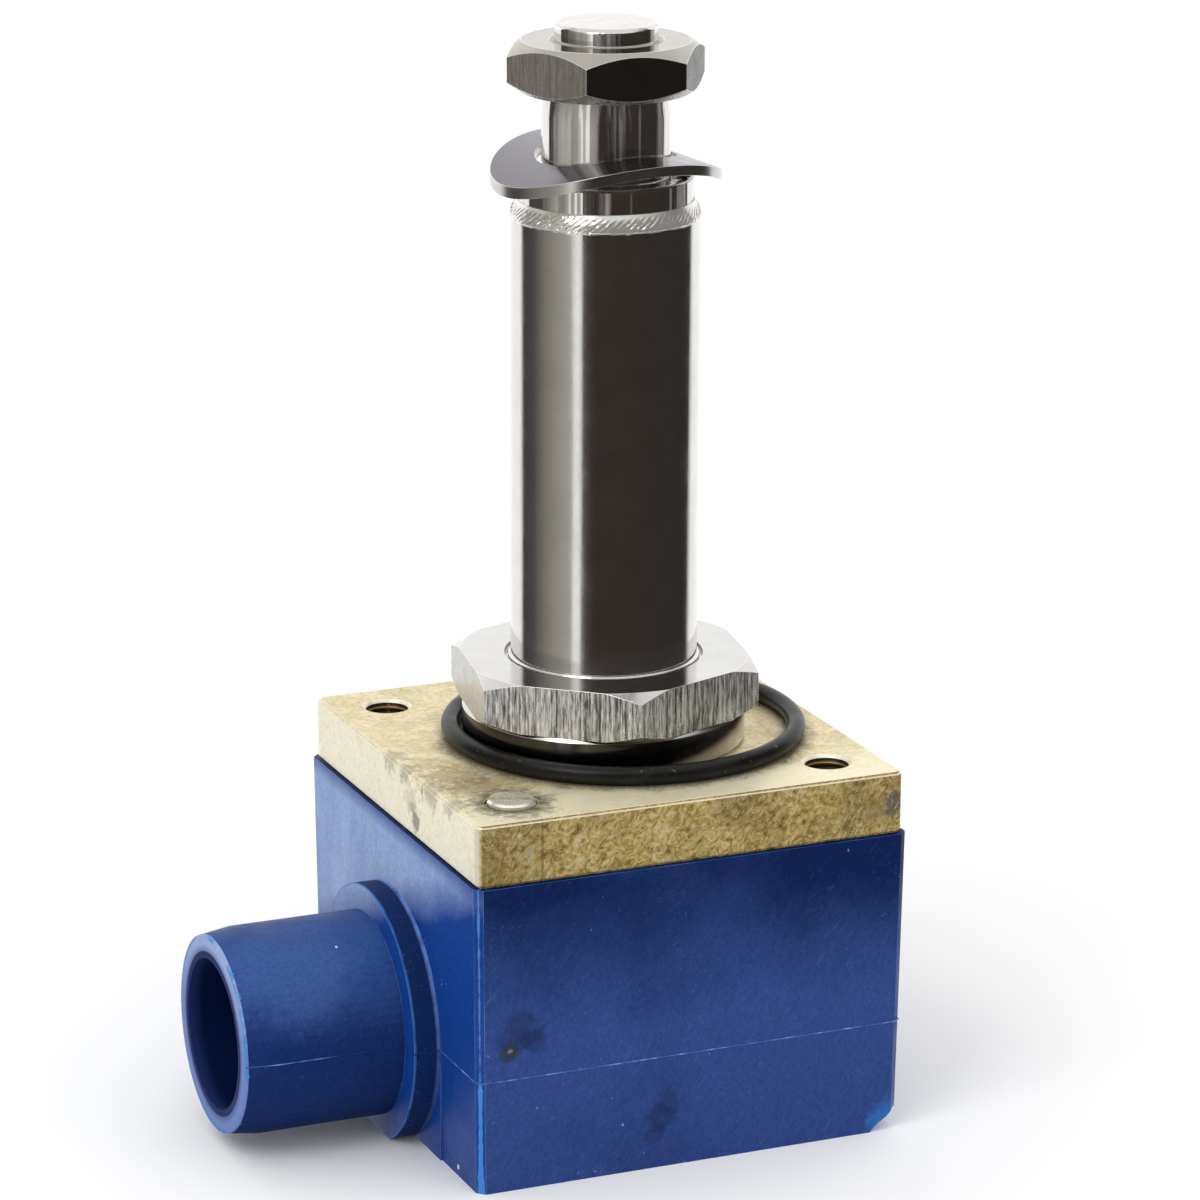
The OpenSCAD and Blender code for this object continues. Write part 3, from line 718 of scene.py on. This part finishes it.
# brass plate
brassLook = {
    "edge": 0.05,  # rounding, mm
    "rough": 0.42,
    "specular": 0.3,
    "metal": 0.55,  # the tarnished skin is only half metallic
    "cream": (0.86, 0.80, 0.62),
    "pale": (0.84, 0.66, 0.28),
    "gold": (0.62, 0.46, 0.145),
    "bronze": (0.42, 0.30, 0.088),
    "olive": (0.185, 0.122, 0.030),
    "grimeAndShade": (0.040, 0.030, 0.014),
    "grimeIn": 0.6,  # its middle runs this far inside the loose ring's rim, mm
    "grimeReach": 1.9,
    "shadeClose": (0.5, 1.1),  # painted shade: full and gone right beside the ring
    "lidTan": (0.54, 0.42, 0.18),
    "lidFrontLight": (1.0, 0.95, 0.70),
    "lidFront": (-12.5, -17.5),  # painted light: the lid turns pale towards its front, from and to these places, mm
    "dimEnd": (-13, -21),  # the front face darkens towards its left end
    "hairLine": (0.95, 0.90, 0.70),
    "lip": (1.0, 0.96, 0.78),  # rubbed upper edges, with a painted highlight along them
    "lineX": -15.4,  # a fine upright line in the front face
    "lineHalf": (0.04, 0.16),
    "holeAt": 16.26,  # the corner holes' distance from both middle lines
    "holeR": 2.13,
    "holeTop": 36.08,  # below the holes' chamfer
    "pitch": 0.8,  # of their thread
    "screws": ((-16.26, -16.26, 36.4), (16.26, 16.26, 36.4)),
    # rings round those screws: reach, colour, strength, ragged
    "patina": ((5.0, (0.125, 0.145, 0.080), 0.40, 0.35), (4.5, (0.085, 0.088, 0.045), 1.0, 0.15)),
    # place, reach, colour, strength
    "stains": (((16.3, -16.3, 36.4), 3.0, (0.62, 0.46, 0.145), 0.5),  # beside the tapped holes
               ((-16.3, 16.3, 36.4), 3.0, (0.62, 0.46, 0.145), 0.5),
               ((20.9, -21.8, 33.5), 1.5, (0.17, 0.15, 0.12), 0.9),  # at the front face's right end
               ((-18.3, -7.0, 36.4), 3.8, (0.33, 0.24, 0.11), 0.7),  # on the lid
               ((-17.6, -10.6, 36.4), 3.6, (0.24, 0.18, 0.08), 0.6),
               ((-18.9, -2.6, 36.4), 2.6, (0.40, 0.31, 0.16), 0.5),
               ((-21.8, 1.0, 36.3), 2.0, (0.34, 0.28, 0.19), 0.6),  # along the upper left edge
               ((-21.7, -3.0, 36.3), 1.6, (0.28, 0.23, 0.16), 0.7),
               ((-21.6, -9.5, 36.3), 2.2, (0.30, 0.25, 0.17), 0.6),
               ((-21.3, -14.5, 36.3), 1.6, (0.34, 0.28, 0.19), 0.6),
               ((-21.8, -5.9, 32.0), 1.2, (0.13, 0.14, 0.09), 0.8),  # a dent in the left face, drawn only as painted shade and a painted highlight
               ((-21.8, -5.2, 33.0), 0.9, (0.20, 0.21, 0.15), 0.7),
               ((-21.8, -4.5, 33.8), 1.8, (0.60, 0.52, 0.38), 0.6)),
}


def brassRegions(tree, place):
    x, y, z = axes(tree, place)
    on = {"x": x, "y": y, "z": z}
    on["lid"] = facing(tree, "Z", 0.5, 0.8)
    on["left"] = facing(tree, "X", -0.5, -0.85)
    on["front"] = facing(tree, "Y", -0.5, -0.9)
    on["blotch"] = noiseOf(tree, place, 6, 6, 0.65)
    # etched skin: worm-like pits and bright crumbs
    on["fine"] = noiseOf(tree, place, 0.60, 4, 0.78, shift=(0.7, 0, 0))
    worms = noiseOf(tree, place, 0.85, 3, 0.65, (1, 1, 1.3), (0.2, 0, 0), (0, 55, 0), swirl=1.7)
    on["skin"] = times(tree, plus(tree, on["fine"], worms), 0.5)
    on["etched"] = plus(tree, times(tree, worms, 0.65), times(tree, on["fine"], 0.35))
    return on


def brassColour(tree, on):
    look, skin, blotch = brassLook, on["skin"], on["blotch"]
    face = ramp(tree, on["etched"], (0.35, look["olive"]), (0.43, look["bronze"]), (0.49, look["gold"]),
                (0.57, look["pale"]), (0.66, look["cream"]))
    face = mixColour(tree, ramp(tree, blotch, (0.38, 0.50), (0.54, 0.0)), face, look["olive"])
    # painted light: the left side is a paler copy of the skin
    side = ramp(tree, skin, (0.32, (0.82, 0.72, 0.46)), (0.46, (0.98, 0.92, 0.71)),
                (0.66, (1.0, 0.97, 0.82)))
    lid = ramp(tree, skin, (0.30, (0.52, 0.39, 0.17)), (0.42, (0.74, 0.62, 0.36)),
               (0.55, (0.86, 0.76, 0.49)), (0.70, (0.96, 0.90, 0.68)))
    lid = mixColour(tree, ramp(tree, blotch, (0.40, 0.35), (0.52, 0.0)), lid, look["lidTan"])
    start, end = look["lidFront"]
    lid = mixColour(tree, between(tree, on["y"], start * mm, end * mm, 0.0, 0.65), lid, look["lidFrontLight"])
    colour = mixColour(tree, on["lid"], mixColour(tree, on["left"], face, side), lid)
    start, end = look["dimEnd"]
    dim = times(tree, between(tree, on["x"], start * mm, end * mm),
                between(tree, blotch, 0.35, 0.6, 0.3, 1.0), on["front"], 0.55)
    return mixColour(tree, dim, colour, look["olive"])


def ringGrimeAndShade(tree, place, on):
    # 1 in the grime trapped round the loose ring and in the painted shade right beside it
    ringLow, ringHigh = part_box("coil_seal")
    middle = tuple((ringLow + ringHigh) / 2)
    away = add(tree, "ShaderNodeVectorMath", {0: place, 1: middle}, operation="DISTANCE").outputs["Value"]
    ringR = (ringHigh.x - ringLow.x) / 2 - brassLook["grimeIn"] * mm
    off = calc(tree, "ABSOLUTE", calc(tree, "SUBTRACT", away, ringR))
    grimeAndShade = calc(tree, "DIVIDE", off, brassLook["grimeReach"] * mm)
    grimeAndShade = plus(tree, grimeAndShade, between(tree, on["blotch"], 0.3, 0.7, -0.5, 0.5))
    grimeAndShade = between(tree, grimeAndShade, 0.35, 1.0, 1.0, 0.0)
    grimeAndShade = times(tree, grimeAndShade, ramp(tree, on["fine"], (0.38, 0.15), (0.58, 1.0)))
    full, gone = brassLook["shadeClose"]
    close = between(tree, off, gone * mm, full * mm)
    return times(tree, most(tree, grimeAndShade, times(tree, close, 0.8)), on["lid"])


def tappedHoles(tree, on):
    # mask of the two open holes, and the crests of the thread down them
    at = brassLook["holeAt"] * mm
    right = diagonal(tree, plus(tree, on["x"], -at), plus(tree, on["y"], at))
    left = diagonal(tree, plus(tree, on["x"], at), plus(tree, on["y"], -at))
    away = calc(tree, "MINIMUM", right, left)
    inHole = times(tree, below(tree, away, brassLook["holeR"] * mm),
                   below(tree, on["z"], brassLook["holeTop"] * mm))
    crest = calc(tree, "PINGPONG", calc(tree, "DIVIDE", on["z"], brassLook["pitch"] * mm), 0.5)
    return inHole, crest


def weatheredBrass():
    look = brassLook
    mat, tree, shader, place = startMaterial("weatheredBrass")
    on = brassRegions(tree, place)
    colour = brassColour(tree, on)
    colour = mixColour(tree, times(tree, ringGrimeAndShade(tree, place, on), 0.70), colour, look["grimeAndShade"])
    spots = [(screw, *ring) for ring in look["patina"] for screw in look["screws"]]
    spots += [(*stain, 0.35) for stain in look["stains"]]
    for centre, reach, tint, much, ragged in spots:
        spot = spotAt(tree, place, centre, reach, ragged, 0.8)
        colour = mixColour(tree, times(tree, spot, much * 0.9), colour, tint)
    lines = most(tree, scratches(tree, place, 0.12, 1.6, 0.7, (0, 35, 10)),
                 scratches(tree, place, 0.12, 1.4, 0.7, (0, -60, 40), (0.4, 0, 0)))
    colour = mixColour(tree, times(tree, lines, 0.7), colour, look["hairLine"])
    inHole, crest = tappedHoles(tree, on)
    # painted shade down the open tapped holes, with painted glints on the thread's crests
    thread = ramp(tree, crest, (0.20, (0.020, 0.011, 0.003)), (0.36, (0.16, 0.085, 0.022)),
                  (0.48, (0.55, 0.36, 0.12)))
    colour = mixColour(tree, inHole, colour, thread)
    fromLine = calc(tree, "ABSOLUTE", plus(tree, on["x"], -look["lineX"] * mm))
    inLine, offLine = look["lineHalf"]
    upright = times(tree, between(tree, fromLine, offLine * mm, inLine * mm), on["front"], 0.55)
    colour = mixColour(tree, upright, colour, look["olive"])
    # rubbed upper edges with a painted highlight along them
    rubbed = ramp(tree, noiseOf(tree, place, 1.5, 4, 0.6), (0.30, 0.45), (0.50, 1.0))
    lip = times(tree, facing(tree, "Z", 0.20, 0.35), facing(tree, "Z", 0.99, 0.94), rubbed)
    colour = mixColour(tree, lip, colour, look["lip"])
    tree.links.new(colour, shader.inputs["Base Color"])
    shader.inputs["Metallic"].default_value = look["metal"]
    rough = between(tree, on["skin"], 0.36, 0.64, look["rough"] + 0.16, look["rough"] - 0.10)
    tree.links.new(rough, shader.inputs["Roughness"])
    shader.inputs["Specular IOR Level"].default_value = look["specular"]
    normal = bump(tree, shader, on["etched"], 0.10, 0.6)
    normal = bump(tree, shader, noiseOf(tree, place, 0.22, 3, 0.6), 0.012, 0.5, normal)
    bump(tree, shader, times(tree, inHole, crest), 0.6, 1.0, normal)
    return mat


softEdges("top_plate", "brassPlate", brassLook["edge"], "housing", weatheredBrass())
print("brass plate made")


# stainless and steel finishes
steelLook = {
    "bright": (0.93, 0.92, 0.89),  # on broken edges
    # painted reflection of the black rubber ring in the flange under the hex
    "reflectedBlack": (0.035, 0.032, 0.028),
    "reflectedBlackX": (9, 1),  # it sets in and is full at these places, from the right, mm
    "latheLines": 7000.0,  # to the metre
}


def steel(name, colour, rough, metal=1.0, lathe=0.0, ground=0.0, grain=0.2, hair=0.25, dull=0.0, above=0.0,
          wavy=0.0, darkFlats=None, lid=None, paintedReflectionBelow=0.0):
    # lathe: rings round the axis; ground: upright lines, above a height in mm; hair: scattered scratches;
    # dull: share of matt skin; wavy: long upright ripples that split the reflections into strips;
    # darkFlats: colour painted as shade on the flats that don't face left; lid: colour of the upper face;
    # the last, a height in mm under which the left part is painted near black: a painted reflection of the
    # black rubber ring
    mat, tree, shader, place = startMaterial(name)
    x, y, z = axes(tree, place)
    cloud = noiseOf(tree, place, 4, 4, 0.6)
    tint = mixColour(tree, between(tree, cloud, 0.3, 0.7), tuple(c * 0.90 for c in colour), colour)
    lines = most(tree, scratches(tree, place, 0.10, 2.4, 0.6, (0, 55, 0)),
                 scratches(tree, place, 0.10, 1.8, 0.6, (10, -35, 30), (0.3, 0, 0)))
    tint = mixColour(tree, times(tree, lines, hair), tint, tuple(c * 0.45 for c in colour))
    specks = ramp(tree, noiseOf(tree, place, 0.45, 2, 0.5), (0.73, 0.0), (0.77, 1.0))
    tint = mixColour(tree, times(tree, specks, hair), tint, tuple(c * 0.25 for c in colour))
    sides = facing(tree, "Z", 0.35, 0.15)
    if above:
        sides = times(tree, sides, over(tree, z, above * mm))
    if ground:
        # strokes of a belt along the flats: short, uneven and deep enough to glint
        broad = noiseOf(tree, place, 0.34, 3, 0.70, (1, 1, 45))
        narrow = noiseOf(tree, place, 0.20, 2, 0.7, (1, 1, 9), (0.4, 0, 0))
        upright = times(tree, plus(tree, broad, narrow), 0.5)
        streak = ramp(tree, upright, (0.40, 0.16), (0.49, 0.72), (0.59, 1.45))
        # the flat that faces straight left was left smooth
        streak = mixColour(tree, facing(tree, "X", -0.80, -0.95), streak, (0.9, 0.9, 0.9))
        strokes = mixColour(tree, 1.0, tint, streak, "MULTIPLY")
        tint = mixColour(tree, times(tree, sides, ground), tint, strokes)
    if darkFlats:
        # painted shade on the flats that don't face left
        others = times(tree, sides, facing(tree, "Z", -0.35, -0.15), facing(tree, "X", -0.6, -0.2))
        tint = mixColour(tree, others, tint, darkFlats)
    if paintedReflectionBelow:
        # painted reflection: the left part of the flange under the hex is painted near black
        start, end = steelLook["reflectedBlackX"]
        black = times(tree, below(tree, z, paintedReflectionBelow * mm), between(tree, x, start * mm, end * mm),
                      facing(tree, "Z", 0.35, 0.15), 0.9)
        tint = mixColour(tree, black, tint, steelLook["reflectedBlack"])
    if lid:
        tint = mixColour(tree, facing(tree, "Z", 0.3, 0.75), tint, lid)
    tint = mixColour(tree, times(tree, edgeWear(tree), 0.7), tint, steelLook["bright"])
    tree.links.new(tint, shader.inputs["Base Color"])
    if dull:
        tree.links.new(calc(tree, "SUBTRACT", 1.0, times(tree, sides, dull)), shader.inputs["Metallic"])
    elif wavy > 0.5:
        # painted reflection: pale, less metallic strips drawn along the neck, at odd distances
        strips = noiseOf(tree, place, 2.6, 3, 0.65, (1, 1, 60), (0.33, 0, 0))
        strips = times(tree, sides, ramp(tree, strips, (0.50, 0.0), (0.60, 0.34)))
        tree.links.new(calc(tree, "SUBTRACT", 1.0, strips), shader.inputs["Metallic"])
    else:
        shader.inputs["Metallic"].default_value = metal
    vary = noiseOf(tree, place, 2.2, 5, 0.6, shift=(0.2, 0, 0))
    vary = between(tree, vary, 0.3, 0.7, rough * 0.75, rough * 1.35)
    if ground:
        vary = plus(tree, vary, times(tree, sides, 0.14 * ground))
    vary = calc(tree, "ADD", vary, times(tree, lines, 0.05), clamp=True)
    tree.links.new(vary, shader.inputs["Roughness"])
    normal = bump(tree, shader, noiseOf(tree, place, 0.30, 3, 0.6), 0.004, grain)
    if lathe:
        turned = add(tree, "ShaderNodeCombineXYZ", {"X": diagonal(tree, x, y), "Y": z}).outputs[0]
        rings = add(tree, "ShaderNodeTexNoise", {"Vector": turned, "Detail": 3.0,
                                                 "Scale": steelLook["latheLines"]})
        normal = bump(tree, shader, rings.outputs["Fac"], 0.005, lathe, normal)
    if wavy:
        ripples = noiseOf(tree, place, 1.6, 2, 0.5, (1, 1, 60), (0.6, 0, 0))
        normal = bump(tree, shader, ripples, 0.16 * wavy, 1.0, normal)
    if ground:
        bump(tree, shader, times(tree, upright, sides), 0.13 * ground, 1.0, normal)
    return mat


def copperMetal():
    mat, tree, shader, place = startMaterial("copper")
    cloud = noiseOf(tree, place, 2, 4, 0.6)
    tint = mixColour(tree, cloud, (0.80, 0.42, 0.26), (0.62, 0.28, 0.16))
    tree.links.new(tint, shader.inputs["Base Color"])
    shader.inputs["Metallic"].default_value = 1.0
    tree.links.new(between(tree, cloud, 0.3, 0.7, 0.2, 0.35), shader.inputs["Roughness"])
    return mat


# rubber, and the slippery white ring
def rubber(name, colour, rough):
    mat, tree, shader, place = startMaterial(name)
    cloud = noiseOf(tree, place, 3, 4, 0.6)
    paler = tuple(min(1, c * 1.6 + 0.004) for c in colour)
    tint = mixColour(tree, between(tree, cloud, 0.3, 0.75), colour, paler)
    dust = ramp(tree, noiseOf(tree, place, 0.35, 2, 0.5), (0.68, 0.0), (0.74, 1.0))
    tint = mixColour(tree, times(tree, dust, 0.25), tint, (0.35, 0.33, 0.28))
    tree.links.new(tint, shader.inputs["Base Color"])
    tree.links.new(between(tree, cloud, 0.3, 0.7, rough - 0.06, rough + 0.08), shader.inputs["Roughness"])
    shader.inputs["Specular IOR Level"].default_value = 0.22
    bump(tree, shader, noiseOf(tree, place, 0.25, 3, 0.6), 0.01, 0.5)
    return mat


# steel pieces in view: edge is the rounding in mm, angle the turn in degrees from which an edge is rounded
hexLook = {
    "edge": 0.16,
    "angle": 24,
    "nick": ((2.75, -15.75, 39.6), 0.85, 0.10),  # place, radius, ragged
    "steel": {"colour": (0.74, 0.73, 0.71), "rough": 0.14, "lathe": 0.25, "ground": 1.0, "dull": 0.22,
              "above": 39.98, "paintedReflectionBelow": 39.9},
}
hexSteel = steel("turnedHex", **hexLook["steel"])
softEdges("tube_hex", "hexBase", hexLook["edge"], "housing", hexSteel,
          angle=hexLook["angle"], cut=biteBall(*hexLook["nick"]))

tubeLook = {
    "edge": 0.10,
    "steel": {"colour": (0.77, 0.755, 0.73), "rough": 0.12, "lathe": 0.10, "grain": 0.9, "hair": 0.12,
              "wavy": 0.12},
}
tubeSteel = steel("drawnTube", **tubeLook["steel"])
softEdges("guide_tube", "guideTube", tubeLook["edge"], "housing", tubeSteel)

plugLook = {
    "edge": 0.12,
    "angle": 24,
    "steel": {"colour": (0.80, 0.78, 0.75), "rough": 0.09, "lathe": 0.30, "hair": 0.15, "wavy": 1.0},
}
plugSteel = steel("turnedCore", **plugLook["steel"])
softEdges("stop_core", "plugAndStud", plugLook["edge"], "housing", plugSteel,
          angle=plugLook["angle"])

nutLook = {
    "edge": 0.14,
    "angle": 24,
    "steel": {"colour": (0.50, 0.47, 0.42), "rough": 0.16, "ground": 0.7, "hair": 0.1, "dull": 0.12,
              "darkFlats": (0.055, 0.050, 0.044)},
}
nutSteel = steel("groundNut", **nutLook["steel"])
softEdges("coil_nut", "coilNut", nutLook["edge"], "nut", nutSteel, angle=nutLook["angle"])

washerLook = {
    "edge": 0.12,
    "angle": 50,
    "steel": {"colour": (0.62, 0.61, 0.59), "rough": 0.20, "grain": 0.5, "hair": 0.12,
              "lid": (0.20, 0.19, 0.215)},
}
washerSteel = steel("springWasher", **washerLook["steel"])
softEdges("curved_washer", "curvedWasher", washerLook["edge"], "washer", washerSteel,
          angle=washerLook["angle"])
print("steel pieces made")


# finishes of the pieces that keep their CAD shape
plainLook = {
    "slotted": {"colour": (0.97, 0.94, 0.82), "rough": 0.24, "metal": 0.80, "grain": 1.0, "hair": 0.3},
    "screw": {"colour": (0.62, 0.62, 0.61), "rough": 0.26, "lathe": 0.2},
    "black": {"colour": (0.012, 0.012, 0.012), "rough": 0.5},
    "ring": {"colour": (0.0045, 0.0043, 0.0038), "rough": 0.32},
    "seat": {"colour": (0.70, 0.64, 0.52), "rough": 0.5},
    "white": {"colour": (0.75, 0.75, 0.72), "rough": 0.4},
}


def finishPlainPieces():
    screwSteel = steel("screwSteel", **plainLook["screw"])
    blackRubber = rubber("blackRubber", **plainLook["black"])
    paint("lock_screws", steel("slottedSteel", **plainLook["slotted"]))
    for node in ("body_screws", "screw_washers", "stem_screw"):
        paint(node, screwSteel)
    for node in ("support_ring", "clamp_disc"):
        paint(node, hexSteel)
    paint("plunger", plugSteel)
    paint("shading_ring", copperMetal())
    for node in ("diaphragm", "hex_seal"):
        paint(node, blackRubber)
    paint("coil_seal", rubber("ringRubber", **plainLook["ring"]))
    paint("seat_disc", rubber("paleRubber", **plainLook["seat"]))
    paint("guide_ring", rubber("slipperyWhite", **plainLook["white"]))


finishPlainPieces()
print("steel and rubber pieces finished")


# the return spring, with the edges of its wire broken
springLook = {
    "edge": 0.02,
    "angle": 40,
    "steel": {"colour": (0.60, 0.61, 0.62), "rough": 0.22},
}


def pressedSpring():
    wireSteel = steel("springWire", **springLook["steel"])
    spring = softEdges("return_spring", "returnSpring", springLook["edge"], "housing", wireSteel,
                       angle=springLook["angle"], segments=1)
    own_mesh(spring)


pressedSpring()
print("return spring made")


# weld bead: overlapping ripples of a bead laid round the tube's end
weld = {
    "ripples": 84,
    "lean": -7,  # how far each ripple trails round, degrees
    "swell": 0.23,  # mm
    "lip": 0.30,  # most that the bead runs down over the tube
    "lipRings": ((-0.25, 0.9), (0.07, 1.0), (0.10, 0.4)),  # how far out, share of the run down
    "innerR": 8.3,
    "topEdge": 0.12,  # the top's rim is this much outside the inner radius
    "around": 960,  # points in a ring
    "rise": 20,  # steps from the lip to the top
    "steel": {"colour": (0.96, 0.94, 0.89), "rough": 0.20, "metal": 0.80, "grain": 0.8, "hair": 0.0},
}


def weldAngles():
    return [math.tau * i / weld["around"] for i in range(weld["around"])]


def weldLip(mesh, outR, foot):
    # the ragged lip that laps over the tube's end
    rings = []
    for proud, share in weld["lipRings"]:
        r = outR + proud * mm
        ring = []
        for a in weldAngles():
            drop = 0.5 + 0.5 * noise.noise(Vector((math.cos(a) * 9, math.sin(a) * 9, 1)))
            drop += 0.3 * noise.noise(Vector((math.cos(a) * 40, math.sin(a) * 40, 3)))
            z = foot - drop * share * weld["lip"] * mm
            ring.append(mesh.verts.new((r * math.cos(a), r * math.sin(a), z)))
        rings.append(ring)
    return rings


def weldSwell(a, t):
    # how far the bead stands out at an angle and a share of its height, m
    trail = math.radians(weld["lean"]) * (t - 0.5) * 2
    phase = ((a + trail) * weld["ripples"] / math.tau) % 1
    wave = (1 - phase) ** 2 * math.sin(math.pi * min(1, phase * 6 + 0.1))
    calm = math.sin(math.pi * min(1, t * 1.15 + 0.02)) ** 0.6
    wander = noise.noise(Vector((math.cos(a) * 4, math.sin(a) * 4, t * 2))) * 0.03
    lively = 0.55 + 0.9 * noise.noise(Vector((math.cos(a) * 2, math.sin(a) * 2, 5)))
    return (wave * weld["swell"] * max(0.15, lively) + wander) * calm * mm


def weldBead():
    low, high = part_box("weld_bead")
    outR, inR = high.x, weld["innerR"] * mm
    mesh = bmesh.new()
    rings = weldLip(mesh, outR, low.z)
    for j in range(weld["rise"] + 1):
        t = j / weld["rise"]
        r = outR + (inR + weld["topEdge"] * mm - outR) * (t ** 1.7)
        z = low.z + t * (high.z - low.z)
        ring = []
        for a in weldAngles():
            swollen = r + weldSwell(a, t)
            ring.append(mesh.verts.new((swollen * math.cos(a), swollen * math.sin(a), z)))
        rings.append(ring)
    for z in (high.z, low.z):
        rings.append([mesh.verts.new((inR * math.cos(a), inR * math.sin(a), z)) for a in weldAngles()])
    for a, b in zip(rings, rings[1:] + rings[:1]):
        for i in range(len(a)):
            n = (i + 1) % len(a)
            mesh.faces.new((a[i], a[n], b[n], b[i]))
    bmesh.ops.recalc_face_normals(mesh, faces=mesh.faces)
    bead = meshPiece("weldRipples", mesh, steel("weldSteel", **weld["steel"]), "housing")
    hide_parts("weld_bead")


weldBead()
print("weld bead made")


# floor, light and surroundings
studio = {
    "floor": (0.95, 0.95, 0.95),
    "floorR": 4,  # m
    "floorRough": 0.9,
    "key": {"place": (-0.9, -0.5, 1.1), "aim": (0, 0, 0.05), "size": (0.7, 0.7), "power": 5.0},
    "fill": {"place": (0.5, -1.3, 0.6), "aim": (0, 0, 0.04), "size": (0.9, 0.9), "power": 2.0,
             "seenInMetal": False},
    "backdrop": 1.0,  # light that reaches matt surfaces from all round
    "ceiling": 0.9,
    # what polished metal mirrors: degrees right of the camera, brightness
    "panorama": ((-180, 1.1), (-124, 1.1), (-118, (0.055, 0.052, 0.054)), (-97, (0.085, 0.08, 0.078)),
                 (-72, (0.27, 0.255, 0.225)), (-41, (0.45, 0.44, 0.41)), (-37, 1.05), (-31, 1.05),
                 (-27, (0.11, 0.10, 0.09)), (-14, (0.042, 0.031, 0.028)), (108, (0.034, 0.030, 0.026)),
                 (124, (0.044, 0.040, 0.034)), (131, 1.1), (180, 1.1)),
}


def makeFloor():
    mesh = bmesh.new()
    bmesh.ops.create_circle(mesh, cap_ends=True, radius=studio["floorR"], segments=96)
    data = bpy.data.meshes.new("floor")
    mesh.to_mesh(data)
    mesh.free()
    floor = bpy.data.objects.new("floor", data)
    mat, tree, shader, place = startMaterial("paleFloor")
    duller = tuple(c * 0.98 for c in studio["floor"])
    tint = mixColour(tree, noiseOf(tree, place, 60, 2, 0.5), studio["floor"], duller)
    tree.links.new(tint, shader.inputs["Base Color"])
    shader.inputs["Roughness"].default_value = studio["floorRough"]
    data.materials.append(mat)
    bpy.context.scene.collection.objects.link(floor)
    floor.visible_glossy = False  # so that upright metal mirrors the studio and not the floor


def softLight(name, place, aim, size, power, seenInMetal=True):
    lamp = bpy.data.lights.new(name, "AREA")
    lamp.shape = "RECTANGLE"
    lamp.size, lamp.size_y = size
    lamp.energy = power
    light = bpy.data.objects.new(name, lamp)
    light.location = place
    light.rotation_mode = "QUATERNION"
    light.rotation_quaternion = (Vector(aim) - Vector(place)).to_track_quat("-Z", "Y")
    light.visible_glossy = seenInMetal
    bpy.context.scene.collection.objects.link(light)


def surroundings():
    # white behind the valve, dark behind the camera, a soft strip front left
    world = bpy.data.worlds.new("studio")
    bpy.context.scene.world = world
    world.use_nodes = True
    tree = world.node_tree
    back = tree.nodes["Background"]
    way = tree.nodes.new("ShaderNodeTexCoord").outputs["Generated"]
    x, y, z = axes(tree, way)
    angle = calc(tree, "ARCTAN2", x, y)  # 0 along +Y, positive towards +X
    turned = calc(tree, "SUBTRACT", math.radians(view["yaw"]) - math.pi, angle)
    turned = calc(tree, "DIVIDE", turned, math.tau)
    turned = calc(tree, "FRACT", plus(tree, turned, 0.5))
    # 0.5 is the camera's side, more is to the right of the picture
    grey = ramp(tree, turned, *((0.5 + a / 360, v) for a, v in studio["panorama"]))
    grey = mixColour(tree, between(tree, z, 0.55, 0.8), grey, (studio["ceiling"],) * 3)
    mirrored = tree.nodes.new("ShaderNodeLightPath").outputs["Is Glossy Ray"]
    shown = mixColour(tree, mirrored, (studio["backdrop"],) * 3, grey)
    tree.links.new(shown, back.inputs["Color"])


bpy.context.scene.view_settings.view_transform = "Standard"
makeFloor()
surroundings()
softLight("key", **studio["key"])
softLight("fill", **studio["fill"])
print("stage and light set")
